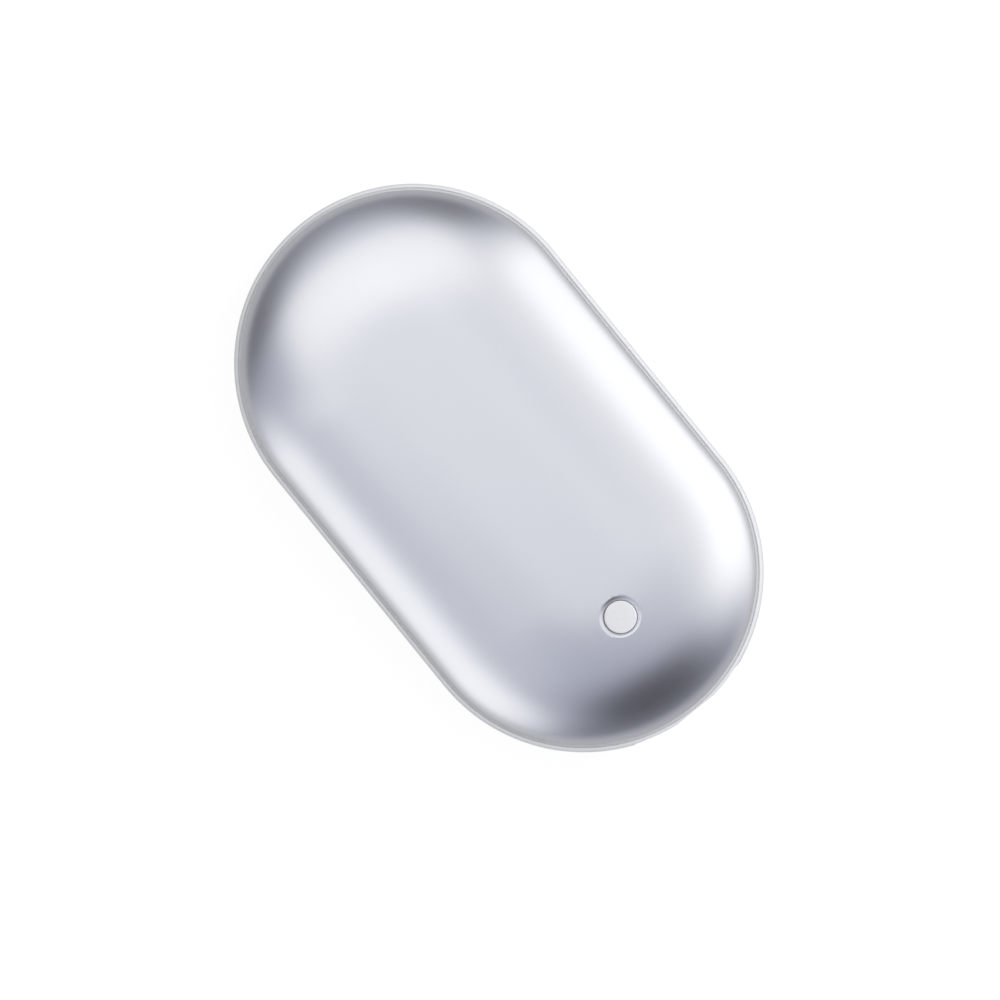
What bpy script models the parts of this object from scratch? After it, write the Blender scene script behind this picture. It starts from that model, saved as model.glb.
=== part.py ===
"""Rechargeable hand warmer: two domed aluminium shells on a moulded mid frame.

The frame holds two cells side by side, the control board, the two charging ports, and the light
guide. A heater film lies under each shell, pressed on it by a foam pad. The push button in the
front shell works a switch on the board. Metres, +Z out of the front shell, -Y out of the ports.
The origin is the centre of the flat land that the warmer rests on.
"""
import math

import bmesh
import bpy

MM = 0.001

# Clearances that many pieces share
CONTACT_GAP = 0.3 * MM
CUT_OVERRUN = 1.0 * MM
JOIN_OVERLAP = 0.5 * MM

# Cells
CELL_DIAMETER = 18.4 * MM
CELL_LENGTH = 65.2 * MM
CELL_SHOULDER_EDGE = 0.5 * MM
CELL_CAP_RADIUS = 2.9 * MM
CELL_CAP_HEIGHT = 1.15 * MM
WASHER_INSET = 0.6 * MM
WASHER_THICKNESS = 0.25 * MM
STRIP_THICKNESS = 0.2 * MM
STRIP_HALF_HEIGHT = 3.0 * MM
STRIP_OVERLAP = 3.65 * MM
STRIP_TAB_WIDTH = 3.0 * MM
STRIP_TAB_RISE = 3.3 * MM
POSITIVE_LEAD_SPACING = 2.1 * MM

# Heaters, their foam pads and sensors
HEATER_THICKNESS = 0.5 * MM
HEATER_MARGIN = 0.4 * MM
FOAM_THICKNESS = 2.1 * MM
FOAM_INSET = 2.0 * MM
THERMISTOR_RADIUS = 0.8 * MM
THERMISTOR_ANGLE = math.radians(38)

# Shells
SHELL_WALL = 0.8 * MM
SHELL_SKIRT = 1.0 * MM
FLAT_HALF_WIDTH = 4.0 * MM
CROWN_EXPONENT = 2.8
CROWN_EDGE_FALL = 0.43

# Mid frame
SIDE_ROOM = 12.05 * MM
ELECTRONICS_ROOM = 30.1 * MM
CORNER_ROOM = 0.5 * MM
BAND_BULGE = 1.3 * MM
BAND_LAND = 1.15 * MM
BULGE_EXPONENT = 2.6
TONGUE_WALL = 1.2 * MM
TONGUE_RISE = 0.8 * MM
BAY_WALL = 1.2 * MM
BAY_STEP = 0.2 * MM
BAR_THICKNESS = 1.4 * MM
BAR_SPACING = 22.0 * MM
FLOOR_THICKNESS = 1.2 * MM
FLOOR_CLEARANCE = 0.5 * MM
WIRE_SLOT_CLEARANCE = 0.6 * MM
BOSS_RADIUS = 2.2 * MM
BOSS_CIRCLE_INSET = 3.8 * MM
BOSS_ANGLES = (math.radians(-62), math.radians(43), math.radians(62))

# Charging ports
BEZEL_THICKNESS = 1.3 * MM
PORT_WALL = 0.25 * MM
PORT_SPACING = 1.8 * MM
PORT_CHAMFER = 0.4 * MM
MOUTH_CLEARANCE = 0.1 * MM
POCKET_RIM = 0.6 * MM
USB_A_WIDTH = 13.1 * MM
USB_A_HEIGHT = 5.7 * MM
USB_A_LENGTH = 14.0 * MM
USB_A_WALL = 0.35 * MM
USB_A_CORNER = 0.8 * MM
USB_A_TONGUE_SIDE_GAP = 0.65 * MM
USB_A_TONGUE_THICKNESS = 1.84 * MM
USB_A_TONGUE_SHELL_GAP = 0.7 * MM
USB_A_TONGUE_SETBACK = 1.0 * MM
USB_A_BASE_LENGTH = 3.5 * MM
USB_C_WIDTH = 8.94 * MM
USB_C_HEIGHT = 3.26 * MM
USB_C_LENGTH = 7.35 * MM
USB_C_WALL = 0.25 * MM
USB_C_CORNER = 1.55 * MM
USB_C_TONGUE_SIDE_GAP = 0.875 * MM
USB_C_TONGUE_THICKNESS = 0.7 * MM
USB_C_TONGUE_SETBACK = 0.8 * MM
USB_C_BASE_LENGTH = 1.6 * MM

# Board, with what is soldered on it
BOARD_THICKNESS = 1.2 * MM
BOARD_EDGE_GAP = 0.5 * MM
PAD_SETBACK = 2.5 * MM
CHIP_BEVEL = 0.2 * MM
INDUCTOR_SIDE = 7.0 * MM
INDUCTOR_HEIGHT = 4.0 * MM
INDUCTOR_BEVEL = 0.9 * MM
INDUCTOR_X = -13.0 * MM
POWER_CHIP_SIDE = 5.0 * MM
POWER_CHIP_HEIGHT = 0.9 * MM
POWER_CHIP_X = 11.0 * MM
HEATER_SWITCH_LENGTH = 3.0 * MM
HEATER_SWITCH_WIDTH = 1.5 * MM
HEATER_SWITCH_HEIGHT = 1.1 * MM
HEATER_SWITCH_X = 7.0 * MM
HEATER_SWITCH_SPACING = 3.0 * MM
CAPACITOR_LENGTH = 3.2 * MM
CAPACITOR_WIDTH = 2.5 * MM
CAPACITOR_HEIGHT = 1.6 * MM
CAPACITOR_X = -7.2 * MM
CAPACITOR_SPACING = 4.5 * MM
SCREW_SHANK_RADIUS = 0.8 * MM
SCREW_HEAD_RADIUS = 1.5 * MM
SCREW_HEAD_HEIGHT = 1.0 * MM
SCREW_HEAD_EDGE = 0.3 * MM
SCREW_LENGTH = 6.0 * MM
PILOT_DEPTH_SPARE = 0.8 * MM

# Indicator lights
LED_COUNT = 4
LED_PITCH_ANGLE = math.radians(5.5)
LED_LENGTH = 1.6 * MM
LED_DEPTH = 0.8 * MM
LED_HEIGHT = 0.6 * MM
GUIDE_DEPTH = 2.4 * MM
GUIDE_DROP = 1.3 * MM
GUIDE_END_ANGLE = math.radians(2.2)
GUIDE_PIN_RADIUS = 0.7 * MM
GUIDE_PIN_SINK = 0.2 * MM

# Push button and the switch under it
BUTTON_TRAVEL = 0.4 * MM
BUTTON_RADIUS = 2.7 * MM
BUTTON_PROUD = 0.2 * MM
BUTTON_EDGE = 0.35 * MM
BUTTON_HOLE_CHAMFER = 0.6 * MM
BUTTON_FLANGE_RADIUS = 4.0 * MM
BUTTON_FLANGE_THICKNESS = 0.6 * MM
BUTTON_STEM_RADIUS = 1.6 * MM
BUTTON_STEM_LENGTH = 0.65 * MM
BUTTON_SETBACK = 4.6 * MM
COLLAR_WALL = 1.2 * MM
COLLAR_HEIGHT = 1.6 * MM
SWITCH_SIDE = 6.2 * MM
SWITCH_HEIGHT = 3.5 * MM
SWITCH_BASE = 1.0 * MM
PLUNGER_RADIUS = 1.75 * MM

# Leads
HEATER_LEAD_RADIUS = 0.55 * MM
HEATER_LEAD_LAP = 1.5 * MM
HEATER_LEAD_BEND = 3.5 * MM
BATTERY_LEAD_RADIUS = 0.8 * MM
LEAD_BEND_STEPS = 6

# Facets
ARC_STEPS = 20
CROWN_STEPS = 8
BULGE_STEPS = 8
ROUND_STEPS = 24
SMALL_ROUND_STEPS = 16
CORNER_STEPS = 3
SHEET_RINGS = 4
SMOOTH_ANGLE = math.radians(35)

# Cell pack, worked out from the cells
CELL_RADIUS = CELL_DIAMETER / 2
CELL_X = CELL_RADIUS + CONTACT_GAP / 2
PACK_HALF_WIDTH = CELL_X + CELL_RADIUS

# Height of everything over the mid-plane
SEAM_Z = USB_A_HEIGHT / 2 + BAND_LAND
SHOULDER_Z = SEAM_Z - CONTACT_GAP
TONGUE_TOP_Z = SHOULDER_Z + TONGUE_RISE
SPRING_Z = SEAM_Z + SHELL_SKIRT
FOAM_BASE_Z = CELL_RADIUS + CONTACT_GAP
FOAM_DEPTH_IN_SHELL = SHELL_WALL + 2 * CONTACT_GAP + HEATER_THICKNESS
HALF_THICKNESS = FOAM_BASE_Z + FOAM_THICKNESS + FOAM_DEPTH_IN_SHELL
DOME_HEIGHT = HALF_THICKNESS - SPRING_Z
BOARD_BASE_Z = USB_A_HEIGHT / 2 + CONTACT_GAP
BOARD_TOP_Z = BOARD_BASE_Z + BOARD_THICKNESS
COMPONENT_Z = BOARD_TOP_Z + CONTACT_GAP
FLOOR_TOP_Z = -USB_A_HEIGHT / 2 - FLOOR_CLEARANCE
BAY_HALF_HEIGHT = SHOULDER_Z - BAY_STEP

# Plan of the case: two end arcs about (0, -HALF_STRAIGHT) and (0, HALF_STRAIGHT)
CASE_RADIUS = PACK_HALF_WIDTH + SIDE_ROOM
SHELL_RADIUS = CASE_RADIUS - BAND_BULGE
TONGUE_RADIUS = SHELL_RADIUS - SHELL_WALL - CONTACT_GAP
FRAME_INNER_RADIUS = TONGUE_RADIUS - TONGUE_WALL
PACK_END_REACH = math.sqrt((FRAME_INNER_RADIUS - CORNER_ROOM) ** 2 - PACK_HALF_WIDTH ** 2)
HALF_STRAIGHT = (ELECTRONICS_ROOM + CELL_LENGTH - PACK_END_REACH - CASE_RADIUS) / 2
PACK_FAR_Y = HALF_STRAIGHT + PACK_END_REACH
PACK_NEAR_Y = PACK_FAR_Y - CELL_LENGTH
PACK_CENTRE_Y = (PACK_FAR_Y + PACK_NEAR_Y) / 2
STRIP_ROOM = STRIP_THICKNESS + 2 * CONTACT_GAP
BAY_NEAR_Y = PACK_NEAR_Y - STRIP_ROOM
BAY_FAR_Y = PACK_FAR_Y + STRIP_ROOM
BAY_HALF_WIDTH = PACK_HALF_WIDTH + CONTACT_GAP
BOARD_RADIUS = FRAME_INNER_RADIUS - BOARD_EDGE_GAP
BOARD_BACK_Y = BAY_NEAR_Y - BAY_WALL - CONTACT_GAP
PAD_Y = BOARD_BACK_Y - PAD_SETBACK
BUTTON_Y = PAD_Y - BUTTON_SETBACK
BUTTON_REACH = -HALF_STRAIGHT - BUTTON_Y
BOSS_CIRCLE = FRAME_INNER_RADIUS - BOSS_CIRCLE_INSET

# Heater film and foam pad plans
HEATER_RADIUS = PACK_HALF_WIDTH + HEATER_MARGIN
HEATER_STRAIGHT = CELL_LENGTH + 2 * HEATER_MARGIN - 2 * HEATER_RADIUS
HEATER_NEAR_Y = PACK_CENTRE_Y - HEATER_STRAIGHT / 2 - HEATER_RADIUS
FOAM_RADIUS = HEATER_RADIUS - FOAM_INSET


def band_radius(z):
    """Radius of the frame's bulging band at a height over the mid-plane."""
    share = min(1.0, abs(z) / SHOULDER_Z)
    return SHELL_RADIUS + BAND_BULGE * (1 - share ** BULGE_EXPONENT) ** (1 / BULGE_EXPONENT)


def crown_height(distance, depth):
    """Height of the dome, on a surface that lies at a depth under the shell's outside."""
    reach = SHELL_RADIUS - depth - FLAT_HALF_WIDTH
    share = min(1.0, max(0.0, (distance - FLAT_HALF_WIDTH) / reach))
    fall = DOME_HEIGHT - (1 - CROWN_EDGE_FALL) * depth
    return HALF_THICKNESS - depth - fall * share ** CROWN_EXPONENT


# Places along the port end, measured from the near arc's centre
PORTS_HALF_WIDTH = (USB_A_WIDTH + PORT_SPACING + USB_C_WIDTH) / 2
PORT_CORNER_REACH = math.sqrt(
    band_radius(USB_A_HEIGHT / 2) ** 2 - (PORTS_HALF_WIDTH + CONTACT_GAP) ** 2
)
BEZEL_INNER_Y = -HALF_STRAIGHT - PORT_CORNER_REACH + PORT_WALL
FACET_Y = BEZEL_INNER_Y - BEZEL_THICKNESS
PORT_MOUTH_Y = BEZEL_INNER_Y + CONTACT_GAP
USB_A_SIZE = (USB_A_WIDTH, USB_A_HEIGHT, USB_A_LENGTH)
USB_C_SIZE = (USB_C_WIDTH, USB_C_HEIGHT, USB_C_LENGTH)
USB_A_X = USB_A_WIDTH / 2 - PORTS_HALF_WIDTH
USB_C_X = PORTS_HALF_WIDTH - USB_C_WIDTH / 2
USB_C_Z = (USB_A_HEIGHT - USB_C_HEIGHT) / 2
POCKET_HALF_HEIGHT = USB_A_HEIGHT / 2 - USB_A_WALL + MOUTH_CLEARANCE + POCKET_RIM

# Light guide
GUIDE_OUTER_RADIUS = FRAME_INNER_RADIUS - CONTACT_GAP
GUIDE_INNER_RADIUS = GUIDE_OUTER_RADIUS - GUIDE_DEPTH
LED_CIRCLE = GUIDE_INNER_RADIUS - CONTACT_GAP - LED_DEPTH / 2
GUIDE_START_ANGLE = math.asin((PORTS_HALF_WIDTH + 2 * CONTACT_GAP) / GUIDE_INNER_RADIUS)
LED_FIRST_ANGLE = GUIDE_START_ANGLE + GUIDE_END_ANGLE
GUIDE_STOP_ANGLE = LED_FIRST_ANGLE + LED_PITCH_ANGLE * (LED_COUNT - 1) + GUIDE_END_ANGLE
GUIDE_TOP_Z = BOARD_BASE_Z - CONTACT_GAP

# Heater leads, which pass beside the button's collar at every height, and the lead beside them
COLLAR_RADIUS = BUTTON_FLANGE_RADIUS + CONTACT_GAP + COLLAR_WALL
HEATER_LEAD_REACH = COLLAR_RADIUS + CONTACT_GAP + HEATER_LEAD_RADIUS
ROOM_BESIDE_COLLAR = math.sqrt(max(0.0, HEATER_LEAD_REACH ** 2 - BUTTON_SETBACK ** 2))
ROOM_BESIDE_MIDDLE_LEAD = BATTERY_LEAD_RADIUS + CONTACT_GAP + HEATER_LEAD_RADIUS
HEATER_LEAD_X = max(ROOM_BESIDE_COLLAR, ROOM_BESIDE_MIDDLE_LEAD)
POSITIVE_TAB_X = HEATER_LEAD_X + POSITIVE_LEAD_SPACING

# Button stack, from the shell's inside down to the board
FLANGE_TOP_Z = crown_height(BUTTON_REACH + BUTTON_FLANGE_RADIUS, SHELL_WALL) - CONTACT_GAP
FLANGE_BASE_Z = FLANGE_TOP_Z - BUTTON_FLANGE_THICKNESS
STEM_BASE_Z = FLANGE_BASE_Z - BUTTON_STEM_LENGTH
PLUNGER_TOP_Z = STEM_BASE_Z - CONTACT_GAP
PLUNGER_BASE_Z = COMPONENT_Z + SWITCH_BASE + BUTTON_TRAVEL + CONTACT_GAP


def stadium(radius, straight, centre_y):
    """Plan outline of two half circles joined by straights, counter-clockwise."""
    points = []
    for side, start in ((1, 0.0), (-1, math.pi)):
        for i in range(ARC_STEPS + 1):
            angle = start + math.pi * i / ARC_STEPS
            x = radius * math.cos(angle)
            y = centre_y + side * straight / 2 + radius * math.sin(angle)
            points.append((x, y))
    return points


def case_ring(radius, z):
    """The case's outline at one radius of its end arcs, at one height."""
    return [(x, y, z) for x, y in stadium(radius, 2 * HALF_STRAIGHT, 0.0)]


def circle(radius, z, steps=ROUND_STEPS):
    """A ring of points about local Z."""
    turns = [2 * math.pi * i / steps for i in range(steps)]
    return [(radius * math.cos(turn), radius * math.sin(turn), z) for turn in turns]


def rounded_rectangle(width, height, corner):
    """Outline of a rectangle with round corners, centred on zero."""
    points = []
    for quarter, (side_x, side_z) in enumerate(((1, 1), (-1, 1), (-1, -1), (1, -1))):
        for i in range(CORNER_STEPS + 1):
            angle = math.pi / 2 * (quarter + i / CORNER_STEPS)
            x = side_x * (width / 2 - corner) + corner * math.cos(angle)
            z = side_z * (height / 2 - corner) + corner * math.sin(angle)
            points.append((x, z))
    return points


def near_arc_point(radius, angle):
    """A point about the near arc's centre, its angle counted from -Y towards +X."""
    return radius * math.sin(angle), -HALF_STRAIGHT - radius * math.cos(angle)


def spine_distance(x, y):
    """How far a point of the plan lies from the line between the end arcs' centres."""
    return math.hypot(x, max(0.0, abs(y) - HALF_STRAIGHT))


def crown_rings(depth):
    """Rings of the dome from its flat land out to its spring line."""
    rings = []
    for i in range(CROWN_STEPS + 1):
        share = math.sin(math.pi / 2 * i / CROWN_STEPS)
        radius = FLAT_HALF_WIDTH + (SHELL_RADIUS - depth - FLAT_HALF_WIDTH) * share
        rings.append(case_ring(radius, crown_height(radius, depth)))
    return rings


def loft(rings, closed=False):
    """A closed mesh through rings of points, capped at its ends unless it runs round."""
    bm = bmesh.new()
    loops = [[bm.verts.new(point) for point in ring] for ring in rings]
    pairs = list(zip(loops, loops[1:]))
    if closed:
        pairs.append((loops[-1], loops[0]))
    else:
        bm.faces.new(loops[0])
        bm.faces.new(loops[-1])
    for first, second in pairs:
        for i in range(len(first)):
            j = (i + 1) % len(first)
            bm.faces.new((first[i], first[j], second[j], second[i]))
    bmesh.ops.recalc_face_normals(bm, faces=bm.faces)
    return bm


def turned(profile, steps=ROUND_STEPS, closed=False):
    """A round mesh about local Z from a profile of (radius, height) points."""
    return loft([circle(radius, z, steps) for radius, z in profile], closed)


def block(size_x, size_y, size_z):
    """A rectangular mesh centred on zero."""
    bm = bmesh.new()
    bmesh.ops.create_cube(bm, size=1.0)
    bmesh.ops.scale(bm, vec=(size_x, size_y, size_z), verts=bm.verts)
    return bm


def plate(outline, base_z, top_z):
    """A flat mesh with the given plan outline."""
    return loft([[(x, y, z) for x, y in outline] for z in (base_z, top_z)])


def tube_along_y(sections):
    """A mesh through upright outlines, each given with its own y."""
    return loft([[(x, y, z) for x, z in outline] for outline, y in sections])


def material(name, color, roughness, metallic=0.0):
    """A Principled material."""
    made = bpy.data.materials.new(name)
    made.use_nodes = True
    shader = made.node_tree.nodes["Principled BSDF"]
    shader.inputs["Base Color"].default_value = (*color, 1.0)
    shader.inputs["Roughness"].default_value = roughness
    shader.inputs["Metallic"].default_value = metallic
    made.diffuse_color = (*color, 1.0)
    return made


def piece(name, bm, finish, parent, location=(0.0, 0.0, 0.0), rotation=(0.0, 0.0, 0.0)):
    """A named object from a mesh, smooth where its faces meet at a small angle."""
    mesh = bpy.data.meshes.new(name)
    bm.to_mesh(mesh)
    bm.free()
    mesh.shade_smooth()
    mesh.set_sharp_from_angle(angle=SMOOTH_ANGLE)
    if finish:
        mesh.materials.append(finish)
    made = bpy.data.objects.new(name, mesh)
    bpy.context.scene.collection.objects.link(made)
    made.parent = parent
    made.location = location
    made.rotation_euler = rotation
    return made


def combine(target, operation, name, bm, location=(0.0, 0.0, 0.0), rotation=(0.0, 0.0, 0.0)):
    """Join a shape to the target, or cut it away, with a hidden object that carries the shape."""
    tool = piece(name, bm, None, target.parent, location, rotation)
    tool.hide_render = True
    tool.display_type = "WIRE"
    change = target.modifiers.new(name, "BOOLEAN")
    change.operation = operation
    change.solver = "EXACT"
    change.object = tool


def chamfered(target, width):
    """Bevel a block's edges by one flat."""
    bevel = target.modifiers.new("edges", "BEVEL")
    bevel.width = width
    bevel.segments = 1


def anchor(name, location, parent=None):
    """An empty that carries pieces."""
    empty = bpy.data.objects.new(name, None)
    bpy.context.scene.collection.objects.link(empty)
    empty.parent = parent
    empty.location = location
    return empty


def shell(name, finish, parent, facing):
    """One domed shell; its flat land, dome, skirt and the same inside, at the wall's depth."""
    rings = crown_rings(0.0)
    rings.append(case_ring(SHELL_RADIUS, SEAM_Z))
    rings.append(case_ring(SHELL_RADIUS - SHELL_WALL, SEAM_Z))
    rings.extend(reversed(crown_rings(SHELL_WALL)))
    return piece(name, loft(rings), finish, parent, rotation=facing)


def button_hole(front):
    """The chamfered hole that the push button stands in."""
    radius = BUTTON_RADIUS + CONTACT_GAP
    rim = crown_height(BUTTON_REACH, 0.0)
    profile = (
        (radius, rim - SHELL_WALL - CUT_OVERRUN),
        (radius, rim - BUTTON_HOLE_CHAMFER),
        (radius + BUTTON_HOLE_CHAMFER + CUT_OVERRUN, rim + CUT_OVERRUN),
    )
    combine(front, "DIFFERENCE", "button_hole", turned(profile), (0.0, BUTTON_Y, 0.0))


def frame_band():
    """The bulging band with a shoulder and a tongue for each shell, as one closed profile."""
    profile = []
    for i in range(BULGE_STEPS + 1):
        turn = math.pi * (i / BULGE_STEPS - 1 / 2)
        rise = math.copysign(abs(math.sin(turn)) ** (2 / BULGE_EXPONENT), turn)
        profile.append((band_radius(SHOULDER_Z * rise), SHOULDER_Z * rise))
    profile += [
        (TONGUE_RADIUS, SHOULDER_Z),
        (TONGUE_RADIUS, TONGUE_TOP_Z),
        (FRAME_INNER_RADIUS, TONGUE_TOP_Z),
        (FRAME_INNER_RADIUS, -TONGUE_TOP_Z),
        (TONGUE_RADIUS, -TONGUE_TOP_Z),
        (TONGUE_RADIUS, -SHOULDER_Z),
    ]
    return loft([case_ring(radius, z) for radius, z in profile], closed=True)


def near_segment(radius, back_y):
    """Plan outline of the near arc's disc, cut straight along back_y."""
    start = math.asin((-HALF_STRAIGHT - back_y) / radius)
    sweep = math.pi - 2 * start
    points = []
    for i in range(2 * ARC_STEPS + 1):
        angle = math.pi + start + sweep * i / (2 * ARC_STEPS)
        points.append((radius * math.cos(angle), -HALF_STRAIGHT + radius * math.sin(angle)))
    return points


def add_cell_bay(frame):
    """The walls round the cells, and the bars that tie them to the band."""
    rings = []
    outer = BAY_HALF_WIDTH + BAY_WALL
    for half_width, reach, z in (
        (outer, BAY_WALL, -BAY_HALF_HEIGHT),
        (outer, BAY_WALL, BAY_HALF_HEIGHT),
        (BAY_HALF_WIDTH, 0.0, BAY_HALF_HEIGHT),
        (BAY_HALF_WIDTH, 0.0, -BAY_HALF_HEIGHT),
    ):
        near, far = BAY_NEAR_Y - reach, BAY_FAR_Y + reach
        corners = ((-half_width, near), (half_width, near), (half_width, far), (-half_width, far))
        rings.append([(x, y, z) for x, y in corners])
    combine(frame, "UNION", "cell_bay", loft(rings, closed=True))
    bar_inner = BAY_HALF_WIDTH + BAY_WALL / 2
    bar_length = FRAME_INNER_RADIUS + TONGUE_WALL / 2 - bar_inner
    for side in (-1, 1):
        for step in (-1, 0, 1):
            place = (side * (bar_inner + bar_length / 2), PACK_CENTRE_Y + step * BAR_SPACING, 0.0)
            bar = block(bar_length, BAR_THICKNESS, 2 * BAY_HALF_HEIGHT - 2 * BAY_STEP)
            combine(frame, "UNION", "bay_bar", bar, place)


def add_connector_floor(frame):
    """The floor under the ports, its wire slot, and the bosses that the board is screwed to."""
    back_y = BAY_NEAR_Y - BAY_WALL / 2
    outline = near_segment(FRAME_INNER_RADIUS + TONGUE_WALL / 2, back_y)
    floor = plate(outline, FLOOR_TOP_Z - FLOOR_THICKNESS, FLOOR_TOP_Z)
    combine(frame, "UNION", "connector_floor", floor)
    slot_room = 2 * (HEATER_LEAD_RADIUS + WIRE_SLOT_CLEARANCE)
    slot = block(2 * HEATER_LEAD_X + slot_room, slot_room, FLOOR_THICKNESS + 2 * CUT_OVERRUN)
    place = (0.0, PAD_Y, FLOOR_TOP_Z - FLOOR_THICKNESS / 2)
    combine(frame, "DIFFERENCE", "wire_slot", slot, place)
    boss_top = BOARD_BASE_Z - CONTACT_GAP
    pilot_base = BOARD_TOP_Z + CONTACT_GAP - SCREW_LENGTH - PILOT_DEPTH_SPARE
    for angle in BOSS_ANGLES:
        place = (*near_arc_point(BOSS_CIRCLE, angle), 0.0)
        boss = turned(((BOSS_RADIUS, FLOOR_TOP_Z - JOIN_OVERLAP), (BOSS_RADIUS, boss_top)))
        combine(frame, "UNION", "screw_boss", boss, place)
        radius = SCREW_SHANK_RADIUS + CONTACT_GAP
        pilot = turned(((radius, pilot_base), (radius, boss_top + CUT_OVERRUN)), SMALL_ROUND_STEPS)
        combine(frame, "DIFFERENCE", "screw_pilot", pilot, place)


def port_outline(width, height, corner, centre_x, centre_z, growth):
    """A port's outline, grown by the same amount all round, at its place on the port face."""
    outline = rounded_rectangle(width + 2 * growth, height + 2 * growth, corner + growth)
    return [(centre_x + x, centre_z + z) for x, z in outline]


def cut_port(frame, size, corner, wall, centre_x, centre_z):
    """A receptacle's seat behind the bezel, and the chamfered mouth in front of it."""
    width, height, length = size
    seat = port_outline(width, height, corner, centre_x, centre_z, CONTACT_GAP)
    seat_back_y = PORT_MOUTH_Y + length + CONTACT_GAP
    combine(frame, "DIFFERENCE", "port_seat", tube_along_y(((seat, BEZEL_INNER_Y), (seat, seat_back_y))))
    outlines = []
    for growth, y in (
        (0.0, BEZEL_INNER_Y + CUT_OVERRUN),
        (0.0, FACET_Y + PORT_CHAMFER),
        (PORT_CHAMFER + CUT_OVERRUN, FACET_Y - CUT_OVERRUN),
    ):
        growth += MOUTH_CLEARANCE - wall
        outlines.append((port_outline(width, height, corner, centre_x, centre_z, growth), y))
    combine(frame, "DIFFERENCE", "port_mouth", tube_along_y(outlines))


def cut_port_face(frame):
    """The flat pocket of the port end, both ports, and the holes for the light guide's pins."""
    reach = CASE_RADIUS + HALF_STRAIGHT + FACET_Y + CUT_OVERRUN
    pocket = block(2 * CASE_RADIUS, reach, 2 * POCKET_HALF_HEIGHT)
    combine(frame, "DIFFERENCE", "port_pocket", pocket, (0.0, FACET_Y - reach / 2, 0.0))
    cut_port(frame, USB_A_SIZE, USB_A_CORNER, USB_A_WALL, USB_A_X, 0.0)
    cut_port(frame, USB_C_SIZE, USB_C_CORNER, USB_C_WALL, USB_C_X, USB_C_Z)
    radius = GUIDE_PIN_RADIUS + CONTACT_GAP
    start, end = FRAME_INNER_RADIUS - CUT_OVERRUN, CASE_RADIUS + CUT_OVERRUN
    for angle in led_angles():
        hole = turned(((radius, start), (radius, end)), SMALL_ROUND_STEPS)
        place, facing = near_arc_centre(), outward(angle)
        combine(frame, "DIFFERENCE", "light_hole", hole, place, facing)


def near_arc_centre():
    """The near end arc's centre on the mid-plane."""
    return 0.0, -HALF_STRAIGHT, 0.0


def outward(angle):
    """The rotation that points local Z level and outward at an angle from -Y towards +X."""
    return math.pi / 2, 0.0, angle


def led_angles():
    """The angle of each indicator light, on the side of the larger port."""
    return [-(LED_FIRST_ANGLE + LED_PITCH_ANGLE * i) for i in range(LED_COUNT)]


def mid_frame(finish, parent):
    """The moulded frame between the shells."""
    frame = piece("mid_frame", frame_band(), finish, parent)
    add_cell_bay(frame)
    add_connector_floor(frame)
    cut_port_face(frame)
    return frame


def cell(name, finish, parent, x):
    """One cell, its positive cap towards the board."""
    shoulder = CELL_LENGTH - CELL_CAP_HEIGHT
    profile = (
        (CELL_RADIUS - CELL_SHOULDER_EDGE, 0.0),
        (CELL_RADIUS, CELL_SHOULDER_EDGE),
        (CELL_RADIUS, shoulder - CELL_SHOULDER_EDGE),
        (CELL_RADIUS - CELL_SHOULDER_EDGE, shoulder),
        (CELL_CAP_RADIUS, shoulder),
        (CELL_CAP_RADIUS, CELL_LENGTH),
    )
    piece(name, turned(profile), finish, parent, (x, PACK_FAR_Y, 0.0), outward(0.0))


def washer(name, finish, parent, x):
    """The insulating ring that lies on a cell's positive shoulder, round its cap."""
    inner = CELL_CAP_RADIUS + 2 * CONTACT_GAP
    base = CELL_LENGTH - CELL_CAP_HEIGHT + CONTACT_GAP
    top = base + WASHER_THICKNESS
    outer = CELL_RADIUS - WASHER_INSET
    profile = ((inner, base), (outer, base), (outer, top), (inner, top))
    ring = turned(profile, closed=True)
    piece(name, ring, finish, parent, (x, PACK_FAR_Y, 0.0), outward(0.0))


def cell_strip(name, finish, parent, tab_x, y):
    """A nickel strip across both cells' ends, with a tab that its lead is soldered to."""
    half_length = CELL_X + STRIP_OVERLAP
    left, right = tab_x - STRIP_TAB_WIDTH / 2, tab_x + STRIP_TAB_WIDTH / 2
    tab_top = STRIP_HALF_HEIGHT + STRIP_TAB_RISE
    outline = (
        (-half_length, -STRIP_HALF_HEIGHT),
        (half_length, -STRIP_HALF_HEIGHT),
        (half_length, STRIP_HALF_HEIGHT),
        (right, STRIP_HALF_HEIGHT),
        (right, tab_top),
        (left, tab_top),
        (left, STRIP_HALF_HEIGHT),
        (-half_length, STRIP_HALF_HEIGHT),
    )
    piece(name, tube_along_y(((outline, y), (outline, y + STRIP_THICKNESS))), finish, parent)


def lying_outline(radius, depth):
    """A heater-shaped outline over the cells, lifted to lie at a depth under the shell."""
    points = []
    for x, y in stadium(radius, HEATER_STRAIGHT, PACK_CENTRE_Y):
        points.append((x, y, crown_height(spine_distance(x, y), depth)))
    return points


def heater(name, finish, parent, facing):
    """The heating film, pressed to the shell's inside and curved like it."""
    top_depth = SHELL_WALL + CONTACT_GAP
    base_depth = top_depth + HEATER_THICKNESS
    radii = [HEATER_RADIUS * (i + 1) / SHEET_RINGS for i in range(SHEET_RINGS)]
    rings = [lying_outline(radius, base_depth) for radius in radii]
    rings += [lying_outline(radius, top_depth) for radius in reversed(radii)]
    piece(name, loft(rings), finish, parent, rotation=facing)


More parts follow.
